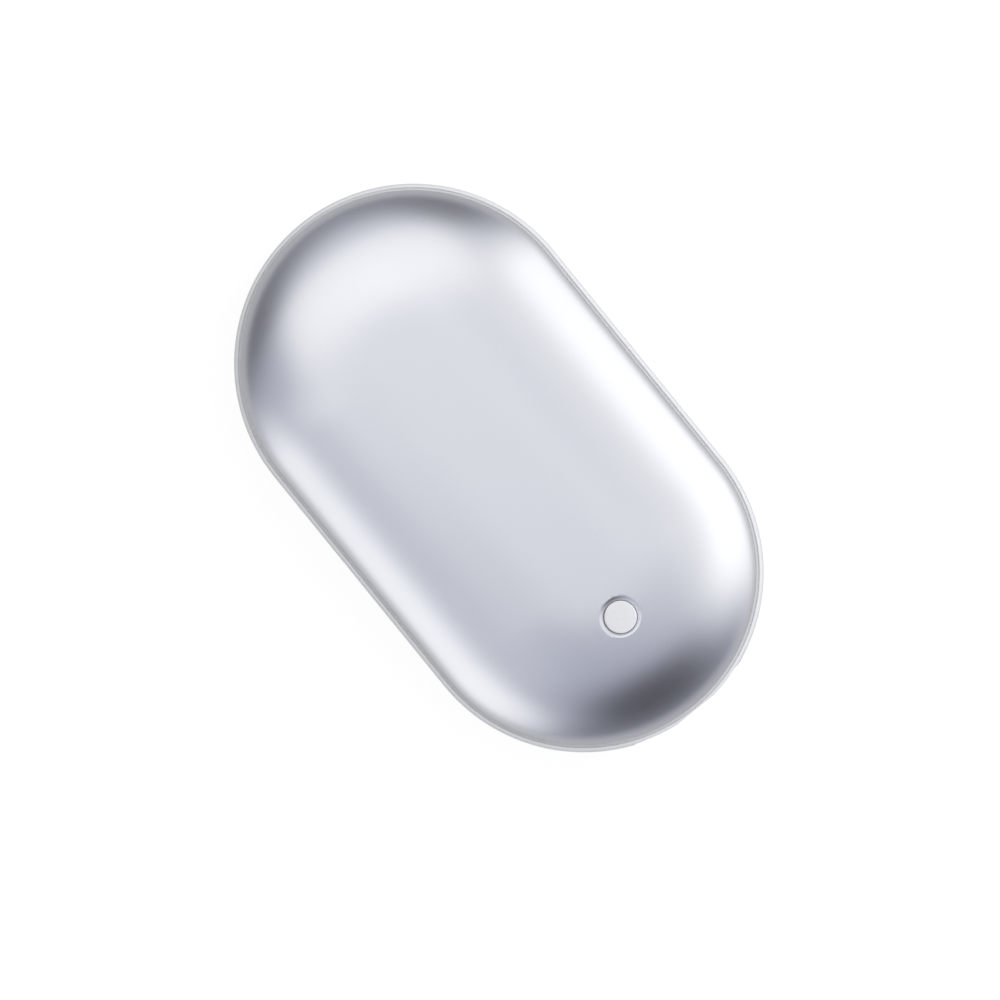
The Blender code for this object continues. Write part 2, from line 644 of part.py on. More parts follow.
def foam_pad(name, finish, parent, facing):
    """The foam between the cells and the heater, flat on the cells and curved under the film."""
    radii = [FOAM_RADIUS * (i + 1) / SHEET_RINGS for i in range(SHEET_RINGS)]
    base = [(x, y, FOAM_BASE_Z) for x, y in stadium(FOAM_RADIUS, HEATER_STRAIGHT, PACK_CENTRE_Y)]
    rings = [base] + [lying_outline(radius, FOAM_DEPTH_IN_SHELL) for radius in reversed(radii)]
    piece(name, loft(rings), finish, parent, rotation=facing)


def thermistor(name, finish, parent, side):
    """The bead beside a foam pad that reads the heater's heat; side is 1 in front, -1 behind."""
    reach = FOAM_RADIUS + CONTACT_GAP + THERMISTOR_RADIUS
    x = reach * math.sin(THERMISTOR_ANGLE)
    y = PACK_CENTRE_Y - HEATER_STRAIGHT / 2 - reach * math.cos(THERMISTOR_ANGLE)
    depth = FOAM_DEPTH_IN_SHELL - CONTACT_GAP
    z = crown_height(spine_distance(x, y), depth) - CONTACT_GAP - THERMISTOR_RADIUS
    bead = bmesh.new()
    bmesh.ops.create_icosphere(bead, subdivisions=2, radius=THERMISTOR_RADIUS)
    piece(name, bead, finish, parent, (side * x, y, side * z))


def lead(name, finish, parent, route, radius):
    """An insulated wire along a route of points."""
    curve = bpy.data.curves.new(name, "CURVE")
    curve.dimensions = "3D"
    curve.bevel_depth = radius
    curve.bevel_resolution = 2
    curve.use_fill_caps = True
    curve.materials.append(finish)
    spline = curve.splines.new("POLY")
    spline.points.add(len(route) - 1)
    for point, place in zip(spline.points, route):
        point.co = (*place, 1.0)
    wire = bpy.data.objects.new(name, curve)
    bpy.context.scene.collection.objects.link(wire)
    wire.parent = parent


def heater_lead(name, finish, parent, side, x):
    """A wire from a heater's near end, bent down to its pad on the board."""
    start_z = FOAM_BASE_Z + FOAM_THICKNESS - HEATER_LEAD_RADIUS
    end_z = COMPONENT_Z if side > 0 else -(BOARD_BASE_Z - CONTACT_GAP)
    route = [(x, HEATER_NEAR_Y + HEATER_LEAD_LAP, side * start_z)]
    for i in range(LEAD_BEND_STEPS + 1):
        turn = math.pi / 2 * i / LEAD_BEND_STEPS
        y = PAD_Y + HEATER_LEAD_BEND * (1 - math.sin(turn))
        z = start_z - HEATER_LEAD_BEND * (1 - math.cos(turn))
        route.append((x, y, side * z))
    route.append((x, PAD_Y, side * end_z))
    lead(name, finish, parent, route, HEATER_LEAD_RADIUS)


def battery_lead(name, finish, parent, x, start_y, start_z):
    """A wire from a strip's tab, eased up or down to its pad on top of the board."""
    end_z = COMPONENT_Z + BATTERY_LEAD_RADIUS
    end_y = PAD_Y - BATTERY_LEAD_RADIUS
    rise_y = BOARD_BACK_Y + CONTACT_GAP + PAD_SETBACK
    route = [(x, start_y, start_z)]
    if abs(start_z - end_z) > CONTACT_GAP:
        level_y = rise_y + HEATER_LEAD_BEND
        route.append((x, level_y, start_z))
        for i in range(1, LEAD_BEND_STEPS):
            share = i / LEAD_BEND_STEPS
            eased = share * share * (3 - 2 * share)
            y = level_y + (rise_y - level_y) * share
            route.append((x, y, start_z + (end_z - start_z) * eased))
        route.append((x, rise_y, end_z))
    route.append((x, end_y, end_z))
    lead(name, finish, parent, route, BATTERY_LEAD_RADIUS)


def main_board(finish, parent):
    """The board over the ports, with its screw holes."""
    outline = near_segment(BOARD_RADIUS, BOARD_BACK_Y)
    board = piece("main_board", plate(outline, BOARD_BASE_Z, BOARD_TOP_Z), finish, parent)
    radius = SCREW_SHANK_RADIUS + CONTACT_GAP
    ends = (BOARD_BASE_Z - CUT_OVERRUN, BOARD_TOP_Z + CUT_OVERRUN)
    for angle in BOSS_ANGLES:
        hole = turned([(radius, z) for z in ends], SMALL_ROUND_STEPS)
        combine(board, "DIFFERENCE", "board_hole", hole, (*near_arc_point(BOSS_CIRCLE, angle), 0.0))


def board_screw(name, finish, parent, angle):
    """A pan head screw through the board into its boss."""
    profile = (
        (SCREW_SHANK_RADIUS, COMPONENT_Z - SCREW_LENGTH),
        (SCREW_SHANK_RADIUS, COMPONENT_Z),
        (SCREW_HEAD_RADIUS, COMPONENT_Z),
        (SCREW_HEAD_RADIUS, COMPONENT_Z + SCREW_HEAD_HEIGHT - SCREW_HEAD_EDGE),
        (SCREW_HEAD_RADIUS - SCREW_HEAD_EDGE, COMPONENT_Z + SCREW_HEAD_HEIGHT),
    )
    screw = turned(profile, SMALL_ROUND_STEPS)
    piece(name, screw, finish, parent, (*near_arc_point(BOSS_CIRCLE, angle), 0.0))


def receptacle_shell(name, finish, parent, size, corner, wall, centre_x, centre_z):
    """A port's metal shell: a rounded tube open at its mouth and folded shut at its back."""
    width, height, length = size
    outer = port_outline(width, height, corner, centre_x, centre_z, 0.0)
    inner = port_outline(width, height, corner, centre_x, centre_z, -wall)
    back_y = PORT_MOUTH_Y + length
    sections = ((outer, back_y), (outer, PORT_MOUTH_Y), (inner, PORT_MOUTH_Y), (inner, back_y - wall))
    piece(name, tube_along_y(sections), finish, parent)


def receptacle_tongue(name, finish, parent, base_size, tongue_size, centre, mouth_gap):
    """A port's moulded base, with the contact tongue that stands out of it towards the mouth."""
    base_width, base_height, base_length, base_back_y = base_size
    tongue_width, tongue_height, tongue_z = tongue_size
    x, z = centre
    base = block(base_width, base_length, base_height)
    base_y = base_back_y - base_length / 2
    body = piece(name, base, finish, parent, (x, base_y, z))
    reach = base_y - (PORT_MOUTH_Y + mouth_gap)
    tongue = block(tongue_width, reach, tongue_height)
    combine(body, "UNION", "tongue", tongue, (x, base_y - reach / 2, tongue_z))


def ports(finishes, parent):
    """Both receptacles, each a shell with its tongue."""
    steel, plastic = finishes["port_steel"], finishes["port_plastic"]
    receptacle_shell("usb_a_shell", steel, parent, USB_A_SIZE, USB_A_CORNER, USB_A_WALL, USB_A_X, 0.0)
    inset = 2 * (USB_A_WALL + CONTACT_GAP)
    back_y = PORT_MOUTH_Y + USB_A_LENGTH - USB_A_WALL - CONTACT_GAP
    base = (USB_A_WIDTH - inset, USB_A_HEIGHT - inset, USB_A_BASE_LENGTH, back_y)
    drop = USB_A_HEIGHT / 2 - USB_A_WALL - USB_A_TONGUE_SHELL_GAP - USB_A_TONGUE_THICKNESS / 2
    width = USB_A_WIDTH - 2 * (USB_A_WALL + USB_A_TONGUE_SIDE_GAP)
    tongue = (width, USB_A_TONGUE_THICKNESS, -drop)
    centre = (USB_A_X, 0.0)
    receptacle_tongue("usb_a_tongue", plastic, parent, base, tongue, centre, USB_A_TONGUE_SETBACK)

    receptacle_shell("usb_c_shell", steel, parent, USB_C_SIZE, USB_C_CORNER, USB_C_WALL, USB_C_X, USB_C_Z)
    inset = 2 * (USB_C_WALL + CONTACT_GAP)
    back_y = PORT_MOUTH_Y + USB_C_LENGTH - USB_C_WALL - CONTACT_GAP
    base_height = USB_C_HEIGHT - inset
    base_width = USB_C_WIDTH - inset - base_height
    base = (base_width, base_height, USB_C_BASE_LENGTH, back_y)
    width = USB_C_WIDTH - 2 * (USB_C_WALL + USB_C_TONGUE_SIDE_GAP)
    tongue = (width, USB_C_TONGUE_THICKNESS, USB_C_Z)
    centre = (USB_C_X, USB_C_Z)
    receptacle_tongue("usb_c_tongue", plastic, parent, base, tongue, centre, USB_C_TONGUE_SETBACK)


def component(name, finish, parent, size, bevel, x, y):
    """A block soldered on top of the board."""
    place = (x, y, COMPONENT_Z + size[2] / 2)
    chamfered(piece(name, block(*size), finish, parent, place), bevel)


def board_components(finishes, parent):
    """The inductor, the chips and the capacitors round the switch."""
    inductor = (INDUCTOR_SIDE, INDUCTOR_SIDE, INDUCTOR_HEIGHT)
    component("inductor", finishes["ferrite"], parent, inductor, INDUCTOR_BEVEL, INDUCTOR_X, BUTTON_Y)
    chip = (POWER_CHIP_SIDE, POWER_CHIP_SIDE, POWER_CHIP_HEIGHT)
    component("power_chip", finishes["chip"], parent, chip, CHIP_BEVEL, POWER_CHIP_X, BUTTON_Y)
    for i in range(2):
        size = (HEATER_SWITCH_LENGTH, HEATER_SWITCH_WIDTH, HEATER_SWITCH_HEIGHT)
        y = BUTTON_Y - SWITCH_SIDE / 2 - HEATER_SWITCH_WIDTH - HEATER_SWITCH_SPACING * i
        name = f"heater_switch_{i + 1}"
        component(name, finishes["chip"], parent, size, CHIP_BEVEL, HEATER_SWITCH_X, y)
    for i in range(2):
        size = (CAPACITOR_LENGTH, CAPACITOR_WIDTH, CAPACITOR_HEIGHT)
        y = BUTTON_Y + CAPACITOR_WIDTH - CAPACITOR_SPACING * i
        name = f"capacitor_{i + 1}"
        component(name, finishes["capacitor"], parent, size, CHIP_BEVEL, CAPACITOR_X, y)


def indicator_lights(finishes, parent):
    """Side-facing lights under the board, and the clear guide that carries them to the band."""
    z = BOARD_BASE_Z - CONTACT_GAP - LED_HEIGHT / 2
    for i, angle in enumerate(led_angles()):
        place = (*near_arc_point(LED_CIRCLE, angle), z)
        light = block(LED_LENGTH, LED_DEPTH, LED_HEIGHT)
        piece(f"indicator_led_{i + 1}", light, finishes["led"], parent, place, (0.0, 0.0, angle))
    rings = []
    for i in range(ARC_STEPS + 1):
        sweep = GUIDE_STOP_ANGLE - GUIDE_START_ANGLE
        angle = -(GUIDE_START_ANGLE + sweep * i / ARC_STEPS)
        inner = near_arc_point(GUIDE_INNER_RADIUS, angle)
        outer = near_arc_point(GUIDE_OUTER_RADIUS, angle)
        base, top = -GUIDE_DROP, GUIDE_TOP_Z
        rings.append(((*inner, base), (*outer, base), (*outer, top), (*inner, top)))
    guide = piece("light_guide", loft(rings), finishes["clear"], parent)
    start, end = GUIDE_OUTER_RADIUS - JOIN_OVERLAP, CASE_RADIUS - GUIDE_PIN_SINK
    for angle in led_angles():
        pin = turned(((GUIDE_PIN_RADIUS, start), (GUIDE_PIN_RADIUS, end)), SMALL_ROUND_STEPS)
        combine(guide, "UNION", "guide_pin", pin, near_arc_centre(), outward(angle))


def power_button(finish, parent):
    """The push button: its cap in the shell's hole, a flange that holds it in, and a stem."""
    top = crown_height(BUTTON_REACH, 0.0) + BUTTON_PROUD
    profile = (
        (BUTTON_STEM_RADIUS, STEM_BASE_Z),
        (BUTTON_STEM_RADIUS, FLANGE_BASE_Z),
        (BUTTON_FLANGE_RADIUS, FLANGE_BASE_Z),
        (BUTTON_FLANGE_RADIUS, FLANGE_TOP_Z),
        (BUTTON_RADIUS, FLANGE_TOP_Z),
        (BUTTON_RADIUS, top - BUTTON_EDGE),
        (BUTTON_RADIUS - BUTTON_EDGE, top),
    )
    piece("power_button", turned(profile), finish, parent)


def button_collar(finish, parent):
    """The ring under the shell that guides the button's flange."""
    inner, outer = COLLAR_RADIUS - COLLAR_WALL, COLLAR_RADIUS
    top = crown_height(BUTTON_REACH + outer, SHELL_WALL) - CONTACT_GAP
    base = top - COLLAR_HEIGHT
    profile = ((inner, base), (outer, base), (outer, top), (inner, top))
    piece("button_collar", turned(profile, closed=True), finish, parent, (0.0, BUTTON_Y, 0.0))


def switch(finishes, parent, plunger_parent):
    """The board's switch: a block with a bore, and the plunger that the button presses."""
    body = block(SWITCH_SIDE, SWITCH_SIDE, SWITCH_HEIGHT)
    place = (0.0, BUTTON_Y, COMPONENT_Z + SWITCH_HEIGHT / 2)
    base = piece("switch_body", body, finishes["chip"], parent, place)
    radius = PLUNGER_RADIUS + CONTACT_GAP
    floor, top = COMPONENT_Z + SWITCH_BASE, COMPONENT_Z + SWITCH_HEIGHT + CUT_OVERRUN
    bore = turned(((radius, floor), (radius, top)))
    combine(base, "DIFFERENCE", "plunger_bore", bore, (0.0, BUTTON_Y, 0.0))
    profile = ((PLUNGER_RADIUS, PLUNGER_BASE_Z), (PLUNGER_RADIUS, PLUNGER_TOP_Z))
    piece("switch_plunger", turned(profile), finishes["port_plastic"], plunger_parent)


def make_finishes():
    """One material for each kind of surface."""
    return {
        "aluminium": material("bead_blasted_aluminium", (0.72, 0.73, 0.75), 0.38, 1.0),
        "frame_plastic": material("white_abs", (0.86, 0.87, 0.88), 0.42),
        "button_plastic": material("milky_polycarbonate", (0.82, 0.84, 0.86), 0.30),
        "cell_wrap": material("blue_cell_wrap", (0.05, 0.20, 0.52), 0.35),
        "nickel": material("nickel_strip", (0.66, 0.64, 0.58), 0.32, 1.0),
        "washer_paper": material("barley_paper", (0.80, 0.82, 0.74), 0.80),
        "heater_film": material("amber_polyimide_film", (0.70, 0.36, 0.05), 0.35),
        "foam": material("grey_silicone_foam", (0.28, 0.29, 0.31), 0.90),
        "board": material("green_fibreglass", (0.02, 0.23, 0.10), 0.40),
        "port_steel": material("nickel_plated_steel", (0.62, 0.63, 0.64), 0.28, 1.0),
        "port_plastic": material("black_nylon", (0.02, 0.02, 0.02), 0.50),
        "chip": material("black_epoxy", (0.03, 0.03, 0.03), 0.55),
        "ferrite": material("grey_ferrite", (0.10, 0.10, 0.11), 0.60),
        "capacitor": material("tan_ceramic", (0.46, 0.33, 0.20), 0.50),
        "led": material("yellow_phosphor", (0.85, 0.80, 0.35), 0.30),
        "clear": material("clear_polycarbonate", (0.85, 0.88, 0.90), 0.10),
        "screw_steel": material("zinc_plated_steel", (0.60, 0.60, 0.60), 0.30, 1.0),
        "red_lead": material("red_silicone", (0.60, 0.02, 0.02), 0.50),
        "black_lead": material("black_silicone", (0.02, 0.02, 0.02), 0.50),
        "white_lead": material("white_silicone", (0.80, 0.80, 0.80), 0.50),
    }


def heat_side(finishes, parent, label, side):
    """The heater, foam pad, sensor and wires on one side of the cells; side is 1 or -1."""
    facing = (0.0, 0.0 if side > 0 else math.pi, 0.0)
    heater(f"{label}_heater", finishes["heater_film"], parent, facing)
    foam_pad(f"{label}_foam_pad", finishes["foam"], parent, facing)
    thermistor(f"{label}_thermistor", finishes["ferrite"], parent, side)
    for i, x in enumerate((-HEATER_LEAD_X, HEATER_LEAD_X)):
        name = f"{label}_heater_lead_{i + 1}"
        heater_lead(name, finishes["white_lead"], parent, side, x)


def cell_pack(finishes, parent):
    """Both cells, their washers, the strips across their ends and the leads to the board."""
    for label, x in (("left", -CELL_X), ("right", CELL_X)):
        cell(f"cell_{label}", finishes["cell_wrap"], parent, x)
        washer(f"washer_{label}", finishes["washer_paper"], parent, x)
    near_strip_y = PACK_NEAR_Y - CONTACT_GAP - STRIP_THICKNESS
    far_strip_y = PACK_FAR_Y + CONTACT_GAP
    cell_strip("positive_strip", finishes["nickel"], parent, POSITIVE_TAB_X, near_strip_y)
    cell_strip("negative_strip", finishes["nickel"], parent, 0.0, far_strip_y)
    lead_z = COMPONENT_Z + BATTERY_LEAD_RADIUS
    start_y = near_strip_y - CONTACT_GAP
    battery_lead("positive_lead", finishes["red_lead"], parent, POSITIVE_TAB_X, start_y, lead_z)
    room = CELL_RADIUS + CONTACT_GAP + BATTERY_LEAD_RADIUS
    valley_z = math.sqrt(room ** 2 - CELL_X ** 2)
    over_wall_z = BAY_HALF_HEIGHT + CONTACT_GAP + BATTERY_LEAD_RADIUS
    start_z = max(valley_z, over_wall_z)
    start_y = far_strip_y - CONTACT_GAP
    battery_lead("negative_lead", finishes["black_lead"], parent, 0.0, start_y, start_z)


def hand_warmer():
    """Every piece, on an empty at the mid-plane's centre."""
    finishes = make_finishes()
    middle = anchor("mid_plane", (0.0, 0.0, HALF_THICKNESS))
    front = shell("front_shell", finishes["aluminium"], middle, (0.0, 0.0, 0.0))
    button_hole(front)
    shell("back_shell", finishes["aluminium"], middle, (0.0, math.pi, 0.0))
    mid_frame(finishes["frame_plastic"], middle)
    cell_pack(finishes, middle)
    heat_side(finishes, middle, "front", 1)
    heat_side(finishes, middle, "back", -1)
    main_board(finishes["board"], middle)
    for i, angle in enumerate(BOSS_ANGLES):
        board_screw(f"board_screw_{i + 1}", finishes["screw_steel"], middle, angle)
    ports(finishes, middle)
    board_components(finishes, middle)
    indicator_lights(finishes, middle)
    button_axis = anchor("button_axis", (0.0, BUTTON_Y, 0.0), middle)
    power_button(finishes["button_plastic"], button_axis)
    button_collar(finishes["port_plastic"], middle)
    switch(finishes, middle, button_axis)


for old in list(bpy.data.objects):
    bpy.data.objects.remove(old, do_unlink=True)
hand_warmer()
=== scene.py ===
"""Rechargeable hand warmer: satin anodised aluminium shells on a white moulded frame.

Metres, +Z out of the front shell, -Y out of the ports, the case resting on z = 0. The shells,
the mid frame, the button and the ports are modelled finer than the CAD nodes they stand for.
"""

import math

import bpy
from mathutils import Matrix, Vector


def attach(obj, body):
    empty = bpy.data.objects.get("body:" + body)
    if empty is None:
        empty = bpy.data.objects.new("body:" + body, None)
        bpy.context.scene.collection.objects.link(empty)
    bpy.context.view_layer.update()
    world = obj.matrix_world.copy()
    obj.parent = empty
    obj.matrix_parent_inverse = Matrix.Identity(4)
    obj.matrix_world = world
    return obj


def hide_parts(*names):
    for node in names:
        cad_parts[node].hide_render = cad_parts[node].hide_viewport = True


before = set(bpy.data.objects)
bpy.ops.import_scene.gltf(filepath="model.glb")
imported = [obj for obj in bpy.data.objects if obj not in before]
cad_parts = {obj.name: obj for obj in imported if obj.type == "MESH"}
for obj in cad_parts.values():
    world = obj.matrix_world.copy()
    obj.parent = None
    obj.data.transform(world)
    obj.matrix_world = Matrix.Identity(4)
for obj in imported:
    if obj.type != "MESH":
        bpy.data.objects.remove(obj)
MM = 0.001

# Plan of the case: end arcs about (0, -HALF_STRAIGHT) and (0, HALF_STRAIGHT)
HALF_STRAIGHT = 22.888 * MM
CASE_RADIUS = 30.6 * MM
SHELL_RADIUS = 29.3 * MM
MID_Z = 13.5 * MM

# Heights over the mid-plane
SEAM_Z = 4.0 * MM
SHOULDER_Z = 3.7 * MM
SPRING_Z = 5.0 * MM
TONGUE_TOP_Z = 4.5 * MM

# Shells. The dome's flat width, exponent and edge roll are estimates, chosen in the same fits
# as the light tent's panels
DOME_HEIGHT = 8.5 * MM
FLAT_HALF_WIDTH = 4.0 * MM
CROWN_EXPONENT = 2.8
CROWN_EDGE_FALL = 0.43
SHELL_WALL = 0.8 * MM
SHELL_EDGE = 0.16 * MM
SHOULDER_ROUND = 0.1 * MM
EDGE_ROLL = 1.5 * MM
EDGE_ROLL_FALL = 0.25 * MM

# Mid frame
BAND_LIP_RADIUS = 29.85 * MM
BAND_LIP_Z = 3.55 * MM
BAND_LIP_BREAK = (0.04 * MM, 0.03 * MM)
GROOVE_DRAFT = 0.06 * MM
BULGE_EXPONENT = 2.6
GROOVE_FLOOR_Z = 3.35 * MM
GROOVE_INNER_RADIUS = 29.0 * MM
TONGUE_RADIUS = 28.2 * MM
FRAME_INNER_RADIUS = 27.0 * MM

BAY_HALF_WIDTH = 18.85 * MM
BAY_NEAR_Y = -24.188 * MM
BAY_FAR_Y = 42.612 * MM
BAY_CENTRE_Y = 9.212 * MM
BAY_WALL = 1.2 * MM
BAY_HALF_HEIGHT = 3.5 * MM
BAR_THICKNESS = 1.4 * MM
BAR_SPACING = 22.0 * MM
BAR_INSET = 0.2 * MM
JOIN_DEPTH = 0.6 * MM
FLOOR_TOP_Z = -3.35 * MM
FLOOR_THICKNESS = 1.2 * MM
WIRE_SLOT_LOW = (-5.528 * MM, -29.338 * MM)
WIRE_SLOT_HIGH = (5.528 * MM, -27.038 * MM)
BOSS_ANGLES = (-62, 43, 62)
BOSS_CIRCLE = 23.2 * MM
BOSS_RADIUS = 2.2 * MM
BOSS_TOP_Z = 2.85 * MM
BOSS_ROOT = 0.5 * MM
PILOT_RADIUS = 1.1 * MM
PILOT_BASE_Z = -2.15 * MM

# Charging ports. In mm: each port's centre x, centre height over mid, width, height, length,
# corner and wall; the corners of each moulding's base and tongue; and the contacts' centre x
PORT_END_Y = -52.965 * MM
PORT_FACE_Y = -51.653 * MM
BEZEL_INNER_Y = -50.353 * MM
PORT_MOUTH_Y = -50.053 * MM
POCKET_HALF_HEIGHT = 2.95 * MM
PORT_CLEARANCE = 0.3 * MM
MOUTH_CHAMFER = 0.2 * MM
CUT_OVERRUN = 0.02 * MM
MOUTH_CLEARANCE = 0.1 * MM
USB_A = (-5.37, 0.0, 13.1, 5.7, 14.0, 0.8, 0.35)
USB_C = (7.45, 1.22, 8.94, 3.26, 7.35, 1.55, 0.25)
USB_A_MOULDING = (
    ((-11.27, -40.203, 11.3), (0.53, -36.703, 15.7)),
    ((-10.92, -49.053, 11.7), (0.18, -40.0, 13.54)),
)
USB_A_NOSE = 0.35 * MM
USB_A_CONTACTS = (-8.87, -6.37, -4.37, -1.87)
USB_C_MOULDING = (
    ((4.61, -44.853, 13.64), (10.29, -43.253, 15.8)),
    ((4.105, -49.253, 14.37), (10.795, -44.4, 15.07)),
)
USB_C_NOSE = 0.16 * MM

# Stamped contacts and leaf springs. In mm: each outline as (y, height over mid), the springs'
# thickness, and the corners of the recess round a contact, with x from the contact's own
LONG_CONTACT = ((-48.4, -0.06), (-48.05, 0.08), (-40.45, 0.08), (-40.45, -0.06))
SHORT_CONTACT = ((-47.4, -0.06), (-47.05, 0.08), (-40.45, 0.08), (-40.45, -0.06))
CONTACT_WIDTH = 1.0 * MM
CONTACT_RECESS = ((-0.6, -48.6, -0.08), (0.6, -40.4, 0.2))
SPRING_LINE = (
    (-49.4, 2.56), (-48.4, 2.3), (-47.2, 2.14), (-46.2, 2.14), (-45.2, 2.3), (-44.2, 2.56)
)
SPRING_THICKNESS = 0.22
SPRING_LOW_X = -9.4 * MM
SPRING_WIDTH = 2.0 * MM
SPRING_SPACING = 6.0 * MM
USB_C_CONTACT = ((-48.7, 1.54), (-48.55, 1.6), (-44.9, 1.6), (-44.9, 1.54))
USB_C_CONTACT_LOW_X = 4.575 * MM
USB_C_CONTACT_WIDTH = 0.25 * MM
USB_C_CONTACT_PITCH = 0.5 * MM
USB_C_CONTACT_COUNT = 12

# Indicators
LIGHT_ANGLES = (-32.8, -38.3, -43.8, -49.3)
LIGHT_HOLE_RADIUS = 1.0 * MM
LIGHT_DRILL_REACH = 29.0 * MM
LIGHT_DRILL_LENGTH = 6.0 * MM

# Push button
BUTTON_Y = -32.788 * MM
BUTTON_RADIUS = 2.78 * MM
BUTTON_PROUD = 0.2 * MM
BUTTON_EDGE = 0.28 * MM
BUTTON_DRILL_DEPTH = 3.0 * MM
BUTTON_HOLE_RADIUS = 2.9 * MM
BUTTON_HOLE_ROLL = 0.78 * MM
BUTTON_HOLE_ROLL_DEPTH = 0.34 * MM
BUTTON_HOLE_ROLL_EXPONENT = 1.15
DOME_FALL_AT_ROLL = 0.06 * MM
BUTTON_FLANGE_RADIUS = 4.0 * MM
BUTTON_FLANGE_THICKNESS = 0.6 * MM
BUTTON_STEM_RADIUS = 1.6 * MM
BUTTON_STEM_LENGTH = 0.65 * MM

# Cells and capacitors, as far as their finishes follow them
CELL_CENTRE_X = 9.35 * MM
WELD_OFFSET = (1.6 * MM, 0, 1.2 * MM)
SLEEVE_CENTRE_Y = 9.65 * MM
SLEEVE_HALF_LENGTH = 31.95 * MM
CAPACITOR_X = -7.2 * MM
CAPACITOR_HALF_BODY = 1.1 * MM

# Facets
ROUND_STEPS = 96
POST_STEPS = 48
DRILL_STEPS = 40
PILOT_STEPS = 32
BLOCK_CORNER_STEPS = 8
TUBE_CORNER_STEPS = 10
SHOULDER_STEPS = 4
FOOT_STEPS = 5
ARC_STEPS = 64
STRAIGHT_STEPS = 24
CROWN_STEPS = 44
BULGE_STEPS = 28
HOLE_ROLL_STEPS = 10
BUTTON_EDGE_STEPS = 8
NOSE_STEPS = 3
TENT_SEGMENTS = 64
TENT_RINGS = 32

# Mesh tolerances
MERGE_DISTANCE = 0.002 * MM
STRIP_MERGE_DISTANCE = 0.0005 * MM
SAME_PLACE = 0.01 * MM
FACING_OUT = 0.9

# View: straight over the front face but for a slight lean, and the aim in pixels off centre
PIXEL = 0.1701 * MM
FRAME_PIXELS = 1000
SENSOR_WIDTH = 36.0
CAMERA_DISTANCE = 1500 * MM
VIEW_RIGHT = (0.776, -0.6307, 0.0)
VIEW_UP = (0.6307, 0.776, 0.0)
VIEW_LEAN_RIGHT = 0.004
VIEW_LEAN_Y = 0.026
AIM_Y = 0.2 * MM
AIM_PIXELS = (1.9, -33.0)

# Room: the way towards its brighter side, and its light from the darker side to that one
ROOM_BRIGHT_SIDE = (0.75, -0.66, 0.0)
ROOM_LIGHT = (0.6, 1.0)

# Floor: its white, and the share of it that shows to the camera and to gloss
FLOOR_SIZE = 6.0
FLOOR_WHITE = 1.16
FLOOR_TO_CAMERA = 0.75
FLOOR_TO_GLOSS = 0.15

# Key lamp
KEY_PLACE = (0.45, -0.05, 0.42)
KEY_SIZE = (0.3, 0.4)
KEY_POWER = 1.0

# Light tent, with soft oval panels: azimuth from +X and angle from the zenith in degrees,
# half width and half height, share that is full, and how much it darkens or adds. The panels
# and the level aren't set by hand: they are rounded from a least-squares fit of the dome's
# reflections to the photograph's brightness, so some have a strength that no real panel has
TENT_RADIUS = 0.45
TENT_GLOW = 0.85
TENT_LEVEL = 0.50
TENT_TINT = (0.90, 0.94, 1.30, 1)
# Base cloth: where its painted shadow of the warmer is darkest, and where it has faded, each as distance
# from the centre in metres and glow level
CLOTH_PAINTED_SHADOW_NEAR = (0.03, 0.34)
CLOTH_FAR = (0.12, 0.50)
CLOTH_Z = 0.3 * MM
TENT_FLAGS = (
    (177, 38, 0.52, 0.39, 0.86, -0.32),
    (-91, 75, 0.98, 0.11, 0.90, 0.83),
    (82, 73, 0.98, 0.24, 0.90, 0.97),
    (-99, 61, 0.61, 0.40, 0.40, 0.97),
    (-1, 7, 0.88, 0.18, 0.00, -0.44),
)
TENT_LAMPS = (
    (-17, 73, 0.81, 0.99, 0.37, 1.08),
    (190, 74, 0.63, 0.32, 0.53, 0.88),
    (81, 43, 0.72, 0.63, 0.68, 0.72),
    (-17, 45, 0.51, 0.33, 0.23, -0.46),
    (160, 13, 0.12, 0.96, 0.34, 0.60),
)

# Nearly all of a noise pattern's values lie in this span
NOISE_SPAN = (0.3, 0.7)


def linear(hex_value):
    """A colour written as sRGB hex, in the linear values that shaders take."""
    channels = []
    for shift in (16, 8, 0):
        value = ((hex_value >> shift) & 255) / 255
        channels.append(value / 12.92 if value <= 0.04045 else ((value + 0.055) / 1.055) ** 2.4)
    return (*channels, 1.0)


def add_node(tree, kind, settings=None, inputs=None):
    """Add one shader node; an input takes a value, or the output socket that feeds it."""
    node = tree.nodes.new(kind)
    for key, value in (settings or {}).items():
        setattr(node, key, value)
    for name, value in (inputs or {}).items():
        if isinstance(value, bpy.types.NodeSocket):
            tree.links.new(value, node.inputs[name])
        else:
            node.inputs[name].default_value = value
    return node


def deselect_all():
    """Leave edit mode with nothing selected, since operators act on all that is selected."""
    if bpy.context.object and bpy.context.object.mode != "OBJECT":
        bpy.ops.object.mode_set(mode="OBJECT")
    bpy.ops.object.select_all(action="DESELECT")


def edit_new_piece(name):
    """Give the new primitive its name, put its place in its mesh, and open it in edit mode."""
    piece = bpy.context.object
    piece.name = name
    piece.data.name = name
    bpy.ops.object.transform_apply(location=True, rotation=True, scale=True)
    bpy.ops.object.mode_set(mode="EDIT")
    bpy.ops.mesh.select_mode(type="VERT")
    return piece


def copy_piece(piece, name, step=(0, 0, 0), mirror_z=None):
    """A copy with its own mesh, a step away, or turned over in the level plane at mirror_z."""
    deselect_all()
    piece.select_set(True)
    bpy.context.view_layer.objects.active = piece
    bpy.ops.object.duplicate()
    bpy.ops.transform.translate(value=step)
    made = edit_new_piece(name)
    if mirror_z is not None:
        bpy.ops.mesh.select_all(action="SELECT")
        bpy.ops.transform.resize(value=(1, 1, -1), center_override=(0, 0, mirror_z))
        bpy.ops.mesh.normals_make_consistent(inside=False)
    bpy.ops.object.mode_set(mode="OBJECT")
    return made


def draw_out(step):
    """Extrude what is selected in the edited mesh by a step."""
    bpy.ops.mesh.extrude_region_move(TRANSFORM_OT_translate={"value": step})


